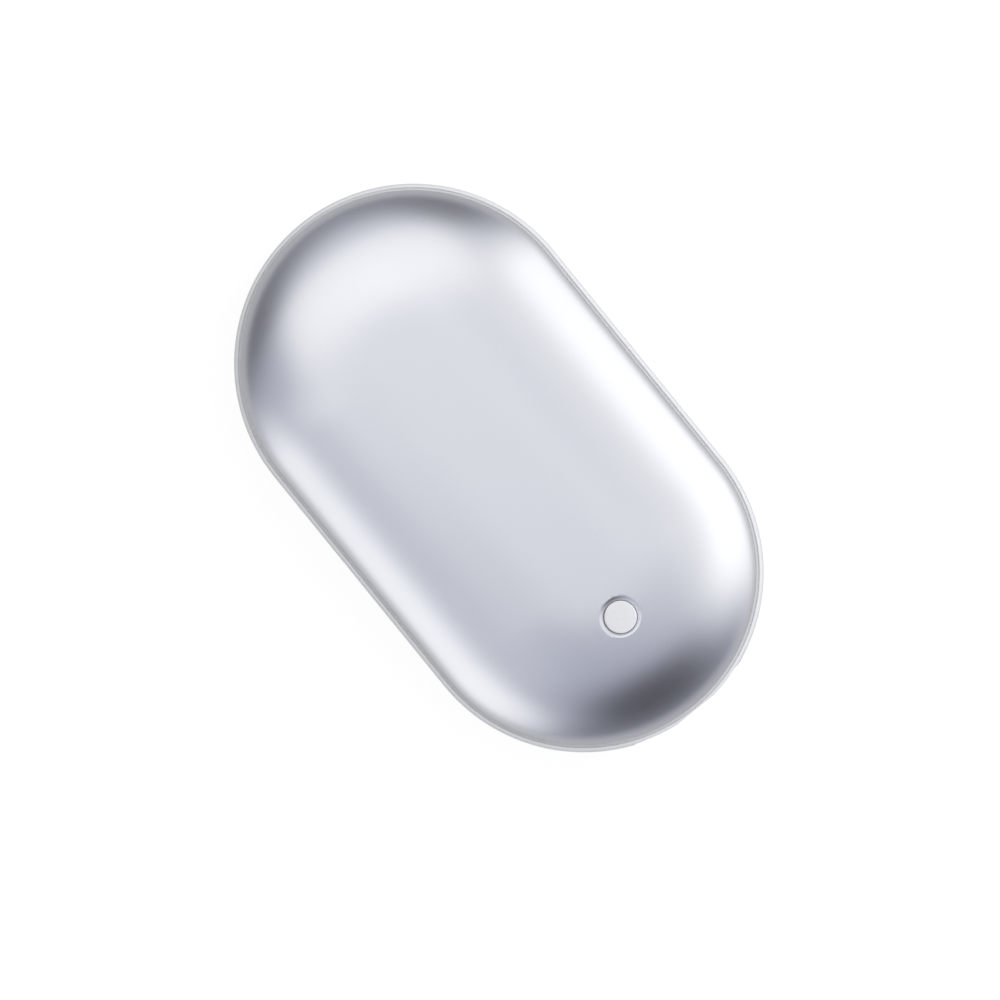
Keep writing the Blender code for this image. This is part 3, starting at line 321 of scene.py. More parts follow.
def trace(name, points):
    """A chain of edges through points, each drawn on from the corner before."""
    deselect_all()
    bpy.ops.mesh.primitive_plane_add(size=MM, location=points[0])
    piece = edit_new_piece(name)
    bpy.ops.mesh.select_all(action="SELECT")
    bpy.ops.mesh.merge(type="CENTER")
    for here, there in zip(points, points[1:]):
        draw_out(Vector(there) - Vector(here))
    bpy.ops.mesh.select_all(action="SELECT")
    return piece


def sweep_round_case():
    """Carry the selected edges once round the case: straight, near arc, straight, far arc."""
    for side in (-1, 1):
        run = Vector((0, side * 2 * HALF_STRAIGHT / STRAIGHT_STEPS, 0))
        for _ in range(STRAIGHT_STEPS):
            draw_out(run)
        centre = (0, side * HALF_STRAIGHT, MID_Z)
        bpy.ops.mesh.spin(steps=ARC_STEPS, angle=math.pi, center=centre, axis=(0, 0, 1))


def close_mesh():
    """Merge the doubles in the edited mesh, turn its faces outwards, and leave edit mode."""
    bpy.ops.mesh.select_all(action="SELECT")
    bpy.ops.mesh.remove_doubles(threshold=MERGE_DISTANCE)
    bpy.ops.mesh.delete_loose()
    bpy.ops.mesh.select_all(action="SELECT")
    bpy.ops.mesh.normals_make_consistent(inside=False)
    bpy.ops.object.mode_set(mode="OBJECT")


def apply_modifier(piece, kind, **settings):
    """Add a modifier to the piece, and apply it."""
    bpy.context.view_layer.objects.active = piece
    change = piece.modifiers.new(kind.lower(), kind)
    for key, value in settings.items():
        setattr(change, key, value)
    bpy.ops.object.modifier_apply(modifier=change.name)


def cut(piece, *tools, operation="DIFFERENCE"):
    """Cut the tools out of the piece, or join them to it, and remove them."""
    for tool in tools:
        apply_modifier(piece, "BOOLEAN", object=tool, operation=operation, solver="EXACT")
        bpy.data.objects.remove(tool)


def dress(piece, finishes, body, slot, *nodes, angle=35, finish=None):
    """Shade the piece, give it its slot's finish and body, and let it stand for its CAD nodes."""
    deselect_all()
    piece.select_set(True)
    bpy.context.view_layer.objects.active = piece
    bpy.ops.object.shade_smooth_by_angle(angle=math.radians(angle))
    piece.data.materials.clear()
    piece.data.materials.append(finish or finishes[slot])
    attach(piece, body)
    if nodes:
        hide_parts(*nodes)
    deselect_all()


def crown_height(distance, depth):
    """Height of the dome over the mid-plane, at a depth under the shell's outside."""
    reach = SHELL_RADIUS - depth - FLAT_HALF_WIDTH
    share = min(1.0, max(0.0, (distance - FLAT_HALF_WIDTH) / reach))
    fall = DOME_HEIGHT - (1 - CROWN_EDGE_FALL) * depth
    return SPRING_Z + DOME_HEIGHT - depth - fall * share ** CROWN_EXPONENT


def crown_profile(depth):
    """Points of the dome from its centreline out to its spring line."""
    points = [(0.0, SPRING_Z + DOME_HEIGHT - depth)]
    for i in range(CROWN_STEPS + 1):
        radius = FLAT_HALF_WIDTH + (SHELL_RADIUS - depth - FLAT_HALF_WIDTH) * i / CROWN_STEPS
        points.append((radius, crown_height(radius, depth)))
    return points


def rolled_height(radius):
    """Height of the dome's outside, which rolls a little steeper over its last stretch."""
    share = max(0.0, radius - SHELL_RADIUS + EDGE_ROLL) / EDGE_ROLL
    return crown_height(radius, 0.0) - EDGE_ROLL_FALL * share ** 2


def rounded_shoulder():
    """The broken corner between dome and skirt, in place of the dome's last points."""
    reach = SHELL_RADIUS - SHOULDER_ROUND
    start = (reach, rolled_height(reach))
    corner = (SHELL_RADIUS, rolled_height(SHELL_RADIUS))
    end = (SHELL_RADIUS, corner[1] - SHOULDER_ROUND)
    points = []
    for i in range(SHOULDER_STEPS + 1):
        share = i / SHOULDER_STEPS
        weights = ((1 - share) ** 2, 2 * share * (1 - share), share ** 2)
        bends = list(zip(weights, (start, corner, end)))
        points.append(tuple(sum(weight * place[k] for weight, place in bends) for k in (0, 1)))
    return points


def band_radius(z):
    """Radius of the frame's bulging band at a height over the mid-plane."""
    share = min(1.0, abs(z) / BAND_LIP_Z)
    bulge = CASE_RADIUS - BAND_LIP_RADIUS
    return BAND_LIP_RADIUS + bulge * (1 - share ** BULGE_EXPONENT) ** (1 / BULGE_EXPONENT)


def at_case_edge(profile):
    """A profile of (radius, height over mid) set up beside the far arc, ready to sweep."""
    return [(radius, HALF_STRAIGHT, MID_Z + z) for radius, z in profile]


def rounded_foot():
    """The pressed shell's lower edge, with both its corners broken."""
    points = []
    for face, inward in ((SHELL_RADIUS, -1), (SHELL_RADIUS - SHELL_WALL, 1)):
        for i in range(FOOT_STEPS + 1):
            turn = math.pi / 2 * (i if inward < 0 else FOOT_STEPS - i) / FOOT_STEPS
            radius = face + inward * SHELL_EDGE * (1 - math.cos(turn))
            points.append((radius, SEAM_Z + SHELL_EDGE * (1 - math.sin(turn))))
    return points


def make_shell(name):
    """One pressed shell: dome, skirt and foot outside, and the same inside at the wall's depth."""
    reach = SHELL_RADIUS - SHOULDER_ROUND - FLAT_HALF_WIDTH
    radii = [FLAT_HALF_WIDTH + reach * i / CROWN_STEPS for i in range(CROWN_STEPS)]
    profile = [(0.0, crown_height(0.0, 0.0))]
    profile += [(radius, rolled_height(radius)) for radius in radii]
    profile += rounded_shoulder() + rounded_foot() + crown_profile(SHELL_WALL)[::-1]
    piece = trace(name, at_case_edge(profile))
    sweep_round_case()
    close_mesh()
    return piece


def make_button_cutter():
    """The drill for the push button, whose top rolls the hole's edge over like a pressed lip."""
    reach = -HALF_STRAIGHT - BUTTON_Y
    step = 0.1 * MM
    slope = (crown_height(reach - step, 0.0) - crown_height(reach + step, 0.0)) / (2 * step)
    axis = Vector((0, -slope, 1)).normalized()
    centre = Vector((0, BUTTON_Y, MID_Z + crown_height(reach, 0.0)))
    rim = BUTTON_HOLE_RADIUS + BUTTON_HOLE_ROLL
    profile = [(0.0, -BUTTON_DRILL_DEPTH), (BUTTON_HOLE_RADIUS, -BUTTON_DRILL_DEPTH)]
    for i in range(HOLE_ROLL_STEPS + 1):
        share = 1 - i / HOLE_ROLL_STEPS
        radius = rim - BUTTON_HOLE_ROLL * share
        fall = DOME_FALL_AT_ROLL * (radius / rim) ** 2
        fall += BUTTON_HOLE_ROLL_DEPTH * share ** BUTTON_HOLE_ROLL_EXPONENT
        profile.append((radius, -fall))
    profile += [(rim, MM), (0.0, MM)]
    points = [centre + Vector((radius, 0, 0)) + axis * height for radius, height in profile]
    tool = trace("button_cutter", points)
    bpy.ops.mesh.spin(steps=ROUND_STEPS, angle=2 * math.pi, center=centre, axis=axis)
    close_mesh()
    return tool


def select_mouth_face(piece):
    """Select the face of the edited piece that looks out of the ports."""
    bpy.ops.mesh.select_mode(type="FACE")
    bpy.ops.mesh.select_all(action="DESELECT")
    bpy.ops.object.mode_set(mode="OBJECT")
    for face in piece.data.polygons:
        face.select = face.normal.y < -FACING_OUT
    bpy.ops.object.mode_set(mode="EDIT")


def make_box(name, low, high):
    """A box between two corners, as a tool or a part of a larger piece."""
    deselect_all()
    centre = [(a + b) / 2 for a, b in zip(low, high)]
    size = [b - a for a, b in zip(low, high)]
    bpy.ops.mesh.primitive_cube_add(size=1, location=centre, scale=size)
    piece = edit_new_piece(name)
    bpy.ops.object.mode_set(mode="OBJECT")
    return piece


def make_post(name, radius, x, y, low_z, high_z, vertices=POST_STEPS):
    """An upright round post, as a tool or a part of a larger piece."""
    deselect_all()
    place = (x, y, (low_z + high_z) / 2)
    bpy.ops.mesh.primitive_cylinder_add(
        vertices=vertices, radius=radius, depth=high_z - low_z, location=place
    )
    piece = edit_new_piece(name)
    bpy.ops.object.mode_set(mode="OBJECT")
    return piece


def select_edges(piece, chosen):
    """Select the edges of the edited piece whose two ends the test takes."""
    bpy.ops.mesh.select_mode(type="EDGE")
    bpy.ops.mesh.select_all(action="DESELECT")
    bpy.ops.object.mode_set(mode="OBJECT")
    points = piece.data.vertices
    for edge in piece.data.edges:
        first, second = edge.vertices
        edge.select = chosen(points[first].co, points[second].co)
    bpy.ops.object.mode_set(mode="EDIT")


def runs_along_y(first, second):
    """Whether an edge runs straight along Y."""
    return abs(first.x - second.x) + abs(first.z - second.z) < SAME_PLACE


def make_rounded_block(name, port, growth, near_y, far_y, segments=BLOCK_CORNER_STEPS):
    """A port's outline, grown all round and drawn along Y, with its corners rounded."""
    centre_x, centre_z, width, height, _, corner, _ = [value * MM for value in port]
    low = (centre_x - width / 2 - growth, near_y, MID_Z + centre_z - height / 2 - growth)
    high = (centre_x + width / 2 + growth, far_y, MID_Z + centre_z + height / 2 + growth)
    piece = make_box(name, low, high)
    bpy.ops.object.mode_set(mode="EDIT")
    select_edges(piece, runs_along_y)
    bpy.ops.mesh.bevel(offset=corner + growth, segments=segments, affect="EDGES")
    bpy.ops.object.mode_set(mode="OBJECT")
    return piece


def make_mouth_cutter(port):
    """The opening in the bezel before a port, flared at the port face."""
    centre_x, centre_z, width, height, _, _, wall = [value * MM for value in port]
    growth = MOUTH_CLEARANCE - wall
    flare_y = PORT_FACE_Y + MOUTH_CHAMFER
    tool = make_rounded_block("mouth_cutter", port, growth, flare_y, BEZEL_INNER_Y + MM)
    bpy.ops.object.mode_set(mode="EDIT")
    select_mouth_face(tool)
    flare = MOUTH_CHAMFER + CUT_OVERRUN
    draw_out((0, -flare, 0))
    grown = [1 + 2 * flare / (side + 2 * growth) for side in (width, height)]
    centre = (centre_x, flare_y - flare, MID_Z + centre_z)
    bpy.ops.transform.resize(value=(grown[0], 1, grown[1]), center_override=centre)
    bpy.ops.object.mode_set(mode="OBJECT")
    return tool


def make_light_hole(angle):
    """The drill for one indicator's hole, level and outward through the band."""
    deselect_all()
    turn = math.radians(angle)
    outward = Vector((math.sin(turn), -math.cos(turn), 0))
    place = Vector((0, -HALF_STRAIGHT, MID_Z)) + outward * LIGHT_DRILL_REACH
    facing = outward.to_track_quat("Z", "Y").to_euler()
    bpy.ops.mesh.primitive_cylinder_add(
        vertices=DRILL_STEPS, radius=LIGHT_HOLE_RADIUS, depth=LIGHT_DRILL_LENGTH,
        location=place, rotation=facing
    )
    tool = edit_new_piece("light_drill")
    bpy.ops.object.mode_set(mode="OBJECT")
    return tool


def boss_place(angle):
    """Where a screw boss stands, at its angle from -Y towards +X about the near arc's centre."""
    turn = math.radians(angle)
    return BOSS_CIRCLE * math.sin(turn), -HALF_STRAIGHT - BOSS_CIRCLE * math.cos(turn), 0


def make_mid_frame():
    """The moulded frame: band, cell bay, port floor with its bosses, port pocket and mouths."""
    moulding = make_band()
    bay_low, bay_high = MID_Z - BAY_HALF_HEIGHT, MID_Z + BAY_HALF_HEIGHT
    reach = BAY_HALF_WIDTH + BAY_WALL
    bay = make_box(
        "bay",
        (-reach, BAY_NEAR_Y - BAY_WALL, bay_low),
        (reach, BAY_FAR_Y + BAY_WALL, bay_high),
    )
    hollow = make_box(
        "bay_hollow",
        (-BAY_HALF_WIDTH, BAY_NEAR_Y, bay_low - MM),
        (BAY_HALF_WIDTH, BAY_FAR_Y, bay_high + MM),
    )
    cut(bay, hollow)
    cut(moulding, bay, operation="UNION")
    bar_in = BAY_HALF_WIDTH + BAY_WALL / 2
    bar_out = FRAME_INNER_RADIUS + JOIN_DEPTH
    bar = make_box(
        "bay_bar",
        (bar_in, BAY_CENTRE_Y - BAR_THICKNESS / 2, bay_low + BAR_INSET),
        (bar_out, BAY_CENTRE_Y + BAR_THICKNESS / 2, bay_high - BAR_INSET),
    )
    steps = [(x, y * BAR_SPACING, 0) for x in (0, -bar_in - bar_out) for y in (-1, 0, 1)]
    cut(moulding, *[copy_piece(bar, "bay_bar", step) for step in steps], operation="UNION")

    floor_top = MID_Z + FLOOR_TOP_Z
    floor_low = floor_top - FLOOR_THICKNESS
    floor = make_post("port_floor", bar_out, 0, -HALF_STRAIGHT, floor_low, floor_top, ROUND_STEPS)
    bpy.ops.object.mode_set(mode="EDIT")
    bpy.ops.mesh.select_all(action="SELECT")
    bpy.ops.mesh.bisect(
        plane_co=(0, BAY_NEAR_Y - BAY_WALL / 2, 0), plane_no=(0, 1, 0), clear_outer=True, use_fill=True
    )
    bpy.ops.object.mode_set(mode="OBJECT")
    cut(moulding, floor, operation="UNION")
    slot = make_box("wire_slot", (*WIRE_SLOT_LOW, floor_low - MM), (*WIRE_SLOT_HIGH, floor_top + MM))
    cut(moulding, slot)
    boss_top = MID_Z + BOSS_TOP_Z
    boss = make_post("boss", BOSS_RADIUS, 0, 0, floor_top - BOSS_ROOT, boss_top)
    pilot_base = MID_Z + PILOT_BASE_Z
    pilot = make_post("pilot", PILOT_RADIUS, 0, 0, pilot_base, boss_top + MM, PILOT_STEPS)
    places = [boss_place(angle) for angle in BOSS_ANGLES]
    cut(moulding, *[copy_piece(boss, "boss", place) for place in places], operation="UNION")
    cut(moulding, *[copy_piece(pilot, "pilot", place) for place in places])
    for pattern in (bar, boss, pilot):
        bpy.data.objects.remove(pattern)

    pocket_low = (-CASE_RADIUS, -HALF_STRAIGHT - CASE_RADIUS - MM, MID_Z - POCKET_HALF_HEIGHT)
    pocket_high = (CASE_RADIUS, PORT_FACE_Y, MID_Z + POCKET_HALF_HEIGHT)
    cut(moulding, make_box("pocket", pocket_low, pocket_high))
    trim_low = (-CASE_RADIUS, pocket_low[1], MID_Z - SEAM_Z)
    cut(moulding, make_box("end_trim", trim_low, (CASE_RADIUS, PORT_END_Y, MID_Z + SEAM_Z)))
    for port in (USB_A, USB_C):
        seat_back_y = PORT_MOUTH_Y + port[4] * MM + PORT_CLEARANCE
        cut(moulding, make_rounded_block("seat", port, PORT_CLEARANCE, BEZEL_INNER_Y, seat_back_y))
        cut(moulding, make_mouth_cutter(port))
    cut(moulding, *[make_light_hole(angle) for angle in LIGHT_ANGLES])
    return moulding


def make_port_shell(name, port):
    """A port's drawn steel shell: a rounded tube, open at its mouth and folded shut behind."""
    wall = port[6] * MM
    back_y = PORT_MOUTH_Y + port[4] * MM
    piece = make_rounded_block(name, port, 0.0, PORT_MOUTH_Y, back_y, TUBE_CORNER_STEPS)
    bpy.ops.object.mode_set(mode="EDIT")
    select_mouth_face(piece)
    bpy.ops.mesh.inset(thickness=wall, depth=0)
    draw_out((0, port[4] * MM - wall, 0))
    bpy.ops.mesh.select_all(action="SELECT")
    bpy.ops.mesh.normals_make_consistent(inside=False)
    bpy.ops.object.mode_set(mode="OBJECT")
    return piece


def make_strip(name, outline, low_x, width):
    """A stamped strip: its side outline in mm, in Y and height over mid, drawn across in X."""
    points = [(low_x, y * MM, MID_Z + z * MM) for y, z in outline]
    piece = trace(name, points + points[:1])
    bpy.ops.mesh.remove_doubles(threshold=STRIP_MERGE_DISTANCE)
    bpy.ops.mesh.edge_face_add()
    draw_out((width, 0, 0))
    close_mesh()
    return piece


def make_port_moulding(name, base, tongue, nose):
    """A port's black moulding: a base block, and a tongue whose nose is chamfered."""
    moulding = make_box(name, *[[value * MM for value in corner] for corner in base])
    blade = make_box("blade", *[[value * MM for value in corner] for corner in tongue])
    front_y = tongue[0][1] * MM + SAME_PLACE
    bpy.ops.object.mode_set(mode="EDIT")
    select_edges(blade, lambda first, second: first.y < front_y and second.y < front_y)
    bpy.ops.mesh.bevel(offset=nose, segments=NOSE_STEPS, affect="EDGES")
    bpy.ops.object.mode_set(mode="OBJECT")
    cut(moulding, blade, operation="UNION")
    return moulding


def make_usb_a(finishes):
    """The larger port: its tube with two leaf springs over and under, moulding and contacts."""
    dress(make_port_shell("usb_a_tube", USB_A), finishes, "case", "port_steel", "usb_a_shell")
    moulding = make_port_moulding("usb_a_moulding", *USB_A_MOULDING, USB_A_NOSE)
    for centre_x in USB_A_CONTACTS:
        corners = [((centre_x + x) * MM, y * MM, MID_Z + z * MM) for x, y, z in CONTACT_RECESS]
        cut(moulding, make_box("contact_recess", *corners))
    dress(moulding, finishes, "case", "port_plastic", "usb_a_tongue", angle=30)

    contacts = []
    for outline, one, other in ((LONG_CONTACT, 1, 4), (SHORT_CONTACT, 2, 3)):
        near_x, far_x = [USB_A_CONTACTS[number - 1] * MM for number in (one, other)]
        low_x = near_x - CONTACT_WIDTH / 2
        contact = make_strip(f"usb_a_contact_{one}", outline, low_x, CONTACT_WIDTH)
        contacts.append(contact)
        contacts.append(copy_piece(contact, f"usb_a_contact_{other}", (far_x - near_x, 0, 0)))
    gold = gold_plated_bronze()
    for contact in contacts:
        dress(contact, finishes, "case", "nickel", finish=gold)

    back_line = [(y, z + SPRING_THICKNESS) for y, z in reversed(SPRING_LINE)]
    spring = make_strip("usb_a_spring_1", [*SPRING_LINE, *back_line], SPRING_LOW_X, SPRING_WIDTH)
    second = copy_piece(spring, "usb_a_spring_2", (SPRING_SPACING, 0, 0))
    third = copy_piece(spring, "usb_a_spring_3", mirror_z=MID_Z)
    fourth = copy_piece(second, "usb_a_spring_4", mirror_z=MID_Z)
    for leaf in (spring, second, third, fourth):
        dress(leaf, finishes, "case", "port_steel", angle=40)


def make_usb_c(finishes):
    """The smaller port: its tube, and the tongue with a row of contacts on each face."""
    dress(make_port_shell("usb_c_tube", USB_C), finishes, "case", "port_steel", "usb_c_shell")
    moulding = make_port_moulding("usb_c_moulding", *USB_C_MOULDING, USB_C_NOSE)
    dress(moulding, finishes, "case", "port_plastic", "usb_c_tongue", angle=30)
    upper = make_strip(
        "usb_c_contacts_upper", USB_C_CONTACT, USB_C_CONTACT_LOW_X, USB_C_CONTACT_WIDTH
    )
    apply_modifier(
        upper, "ARRAY", count=USB_C_CONTACT_COUNT, use_relative_offset=False,
        use_constant_offset=True, constant_offset_displace=(USB_C_CONTACT_PITCH, 0, 0)
    )
    lower = copy_piece(upper, "usb_c_contacts_lower", mirror_z=MID_Z + USB_C[1] * MM)
    gold = gold_plated_bronze()
    for row in (upper, lower):
        dress(row, finishes, "case", "nickel", finish=gold)


def make_band():
    """The moulded band, its shadow grooves beside the shells, its shoulders and its tongues."""
    bulge = []
    for i in range(BULGE_STEPS + 1):
        turn = math.pi * (i / BULGE_STEPS - 1 / 2)
        rise = math.copysign(abs(math.sin(turn)) ** (2 / BULGE_EXPONENT), turn)
        bulge.append((band_radius(BAND_LIP_Z * rise), BAND_LIP_Z * rise))
    upper = [
        (BAND_LIP_RADIUS - BAND_LIP_BREAK[0], BAND_LIP_Z - BAND_LIP_BREAK[1]),
        (BAND_LIP_RADIUS - GROOVE_DRAFT, GROOVE_FLOOR_Z),
        (GROOVE_INNER_RADIUS, GROOVE_FLOOR_Z),
        (GROOVE_INNER_RADIUS, SHOULDER_Z),
        (TONGUE_RADIUS, SHOULDER_Z),
        (TONGUE_RADIUS, TONGUE_TOP_Z),
        (FRAME_INNER_RADIUS, TONGUE_TOP_Z),
    ]
    lower = [(radius, -z) for radius, z in reversed(upper)]
    profile = bulge + upper + lower + bulge[:1]
    piece = trace("moulded_mid_frame", at_case_edge(profile))
    sweep_round_case()
    close_mesh()
    return piece


def make_button():
    """The milky cap with its soft edge, the flange that holds it in, and its stem."""
    reach = -HALF_STRAIGHT - BUTTON_Y
    top = crown_height(reach, 0.0) + BUTTON_PROUD
    flange_top = crown_height(reach + BUTTON_FLANGE_RADIUS, SHELL_WALL) - PORT_CLEARANCE
    flange_base = flange_top - BUTTON_FLANGE_THICKNESS
    stem_base = flange_base - BUTTON_STEM_LENGTH
    profile = [(0.0, top)]
    for i in range(BUTTON_EDGE_STEPS + 1):
        turn = math.pi / 2 * i / BUTTON_EDGE_STEPS
        radius = BUTTON_RADIUS - BUTTON_EDGE * (1 - math.sin(turn))
        profile.append((radius, top - BUTTON_EDGE * (1 - math.cos(turn))))
    profile += [
        (BUTTON_RADIUS, flange_top),
        (BUTTON_FLANGE_RADIUS, flange_top),
        (BUTTON_FLANGE_RADIUS, flange_base),
        (BUTTON_STEM_RADIUS, flange_base),
        (BUTTON_STEM_RADIUS, stem_base),
        (0.0, stem_base),
    ]
    piece = trace("milky_button", [(radius, BUTTON_Y, MID_Z + z) for radius, z in profile])
    centre = (0, BUTTON_Y, MID_Z)
    bpy.ops.mesh.spin(steps=ROUND_STEPS, angle=2 * math.pi, center=centre, axis=(0, 0, 1))
    close_mesh()
    return piece


def new_finish(name, size, tones, roughness, relief, **sockets):
    """A material with grain of one real size: two close tones, a range of roughness and relief.

    The other values go to the Principled shader's own sockets.
    """
    made = bpy.data.materials.new(name)
    made.use_nodes = True
    tree = made.node_tree
    shader = tree.nodes["Principled BSDF"]
    for key, value in sockets.items():
        shader.inputs[key.replace("_", " ")].default_value = value
    place = add_node(tree, "ShaderNodeTexCoord").outputs["Object"]
    speckle = {"Vector": place, "Scale": 1 / size, "Detail": 2.0}
    grain = add_node(tree, "ShaderNodeTexNoise", {}, speckle).outputs["Fac"]
    blend = {0: grain, 6: linear(tones[0]), 7: linear(tones[1])}
    colour = add_node(tree, "ShaderNodeMix", {"data_type": "RGBA"}, blend).outputs[2]
    tree.links.new(colour, shader.inputs["Base Color"])
    low, high = NOISE_SPAN
    span = {"From Min": low, "From Max": high, "To Min": roughness[0], "To Max": roughness[1]}
    gloss = add_node(tree, "ShaderNodeMapRange", {}, {"Value": grain, **span})
    tree.links.new(gloss.outputs["Result"], shader.inputs["Roughness"])
    bump = add_node(tree, "ShaderNodeBump", {}, {"Height": grain, "Distance": relief}).outputs[0]
    tree.links.new(bump, shader.inputs["Normal"])
    return made, place, (shader, colour, bump)


def lay_pattern(made, pattern, grained, hex_value=None, height=None):
    """Lay a pattern over the grain: in its own colour, and proud of it or, below 0, sunk in."""
    tree = made.node_tree
    shader, colour, bump = grained
    if hex_value is not None:
        blend = {0: pattern, 6: colour, 7: linear(hex_value)}
        seen = add_node(tree, "ShaderNodeMix", {"data_type": "RGBA"}, blend)
        tree.links.new(seen.outputs[2], shader.inputs["Base Color"])
    if height is not None:
        relief = {"Height": pattern, "Distance": abs(height), "Normal": bump}
        raised = add_node(tree, "ShaderNodeBump", {"invert": height < 0}, relief)
        tree.links.new(raised.outputs[0], shader.inputs["Normal"])


def anodised_aluminium():
    """Bead-blasted, clear-anodised aluminium: a cool satin silver with soft, wide highlights.

    Blasting leaves pits of about 0.08 mm. They are drawn at 0.35 mm, so that they show at all.
    The oxide film dulls the metal at grazing angles.
    """
    return new_finish(
        "bead_blasted_anodised_aluminium", 0.35 * MM, (0xEAECF1, 0xEEF0F4), (0.305, 0.335),
        0.001 * MM, Metallic=1.0, Specular_Tint=linear(0xE2E2E4)
    )[0]


def white_abs():
    """White injection-moulded ABS: a fine eggshell surface, with the mould's thin parting line.

    The spark-eroded texture is about 0.1 mm across, and is drawn at 0.3 mm.
    """
    made, place, grained = new_finish(
        "moulded_white_abs", 0.3 * MM, (0xE3E4E7, 0xE8E9EC), (0.38, 0.46), 0.002 * MM, IOR=1.54,
        Subsurface_Weight=0.08, Subsurface_Radius=(1.0, 1.0, 1.0), Subsurface_Scale=0.4 * MM
    )
    tree = made.node_tree
    height = add_node(tree, "ShaderNodeSeparateXYZ", {}, {0: place}).outputs[2]
    for operation in ("SUBTRACT", "ABSOLUTE"):
        step = {"operation": operation}
        height = add_node(tree, "ShaderNodeMath", step, {0: height, 1: MID_Z}).outputs[0]
    edges = {"From Min": 0.03 * MM, "From Max": 0.09 * MM, "To Min": 1.0, "To Max": 0.0}
    soft = {"interpolation_type": "SMOOTHSTEP"}
    line = add_node(tree, "ShaderNodeMapRange", soft, {"Value": height, **edges}).outputs["Result"]
    lay_pattern(made, line, grained, height=0.02 * MM)
    return made


def milky_polycarbonate():
    """Milky polycarbonate: smooth and bright, and light spreads a little way inside it."""
    return new_finish(
        "milky_polycarbonate", 0.6 * MM, (0xE3E5E9, 0xE5E7EB), (0.27, 0.31), 0.0002 * MM, IOR=1.58,
        Subsurface_Weight=0.3, Subsurface_Radius=(1.0, 0.95, 0.9), Subsurface_Scale=0.8 * MM
    )[0]


def nickel_plated_steel():
    """Nickel-plated steel sheet: a half-bright metal with fine drawing marks along the tube."""
    made, place, grained = new_finish(
        "nickel_plated_steel", 0.5 * MM, (0xC2C0B9, 0xCFCDC7), (0.2, 0.28), 0.001 * MM, Metallic=1.0
    )
    tree = made.node_tree
    stretch = {"Vector": place, "Scale": (1.0, 0.06, 1.0)}
    along = add_node(tree, "ShaderNodeMapping", {}, stretch).outputs[0]
    marks = add_node(tree, "ShaderNodeTexNoise", {}, {"Vector": along, "Scale": 1 / (0.15 * MM)})
    lay_pattern(made, marks.outputs["Fac"], grained, height=0.003 * MM)
    return made


def gold_plated_bronze():
    """Gold-plated phosphor bronze, as on port contacts: a warm and smooth metal."""
    return new_finish(
        "gold_plated_bronze", 0.4 * MM, (0xD2A552, 0xDDB568), (0.2, 0.3), 0.001 * MM, Metallic=1.0
    )[0]


def black_nylon():
    """Glass-filled black nylon: near black, with a dull fibre bloom about 0.2 mm across."""
    return new_finish(
        "glass_filled_black_nylon", 0.2 * MM, (0x141415, 0x242426), (0.42, 0.6), 0.004 * MM, IOR=1.53
    )[0]


def frosted_polycarbonate():
    """Frosted polycarbonate, as indicator lenses have: pale, and light passes through it."""
    return new_finish(
        "frosted_polycarbonate", 0.8 * MM, (0xE9EDF0, 0xF0F4F6), (0.3, 0.4), 0.0005 * MM,
        IOR=1.585, Transmission_Weight=0.5
    )[0]


def blue_shrink_sleeve():
    """Blue PVC sleeve shrunk on a cell, glossy with faint ripples, over a bare steel can's ends."""
    made, place, grained = new_finish(
        "blue_shrink_sleeve", 2.5 * MM, (0x2A5FA5, 0x3069B0), (0.22, 0.34), 0.02 * MM, IOR=1.53
    )
    tree = made.node_tree
    length = add_node(tree, "ShaderNodeSeparateXYZ", {}, {0: place}).outputs[1]
    sleeve = {0: length, 1: SLEEVE_CENTRE_Y, 2: SLEEVE_HALF_LENGTH}
    covered = add_node(tree, "ShaderNodeMath", {"operation": "COMPARE"}, sleeve).outputs[0]
    bare = add_node(tree, "ShaderNodeMath", {"operation": "SUBTRACT"}, {0: 1.0, 1: covered}).outputs[0]
    lay_pattern(made, bare, grained, 0xC9C8C4)
    tree.links.new(bare, grained[0].inputs["Metallic"])
    return made


def spot_welded_nickel():
    """Plain nickel strip: a soft grey metal, with pairs of dull spot welds over each cell."""
    made, spot, grained = new_finish(
        "spot_welded_nickel", 0.3 * MM, (0xC6C2B8, 0xD3CFC6), (0.26, 0.36), 0.002 * MM, Metallic=1.0
    )
    tree = made.node_tree
    for operation, step in (
        ("SUBTRACT", (0, 0, MID_Z)),
        ("ABSOLUTE", (0, 0, 0)),
        ("SUBTRACT", (CELL_CENTRE_X, 0, 0)),
        ("ABSOLUTE", (0, 0, 0)),
        ("SUBTRACT", WELD_OFFSET),
        ("MULTIPLY", (1, 0, 1)),
    ):
        fold = {"operation": operation}
        spot = add_node(tree, "ShaderNodeVectorMath", fold, {0: spot, 1: step}).outputs[0]
    reach = add_node(tree, "ShaderNodeVectorMath", {"operation": "LENGTH"}, {0: spot}).outputs["Value"]
    edges = {"From Min": 0.4 * MM, "From Max": 0.6 * MM, "To Min": 1.0, "To Max": 0.0}
    weld = add_node(tree, "ShaderNodeMapRange", {}, {"Value": reach, **edges}).outputs["Result"]
    lay_pattern(made, weld, grained, 0x7D7A73, -0.05 * MM)
    return made


def barley_paper():
    """Barley paper: a dry, pale insulating board with short fibres about 0.3 mm across."""
    return new_finish(
        "barley_paper", 0.3 * MM, (0xD6D8C8, 0xE9EADF), (0.75, 0.9), 0.02 * MM, IOR=1.45
    )[0]


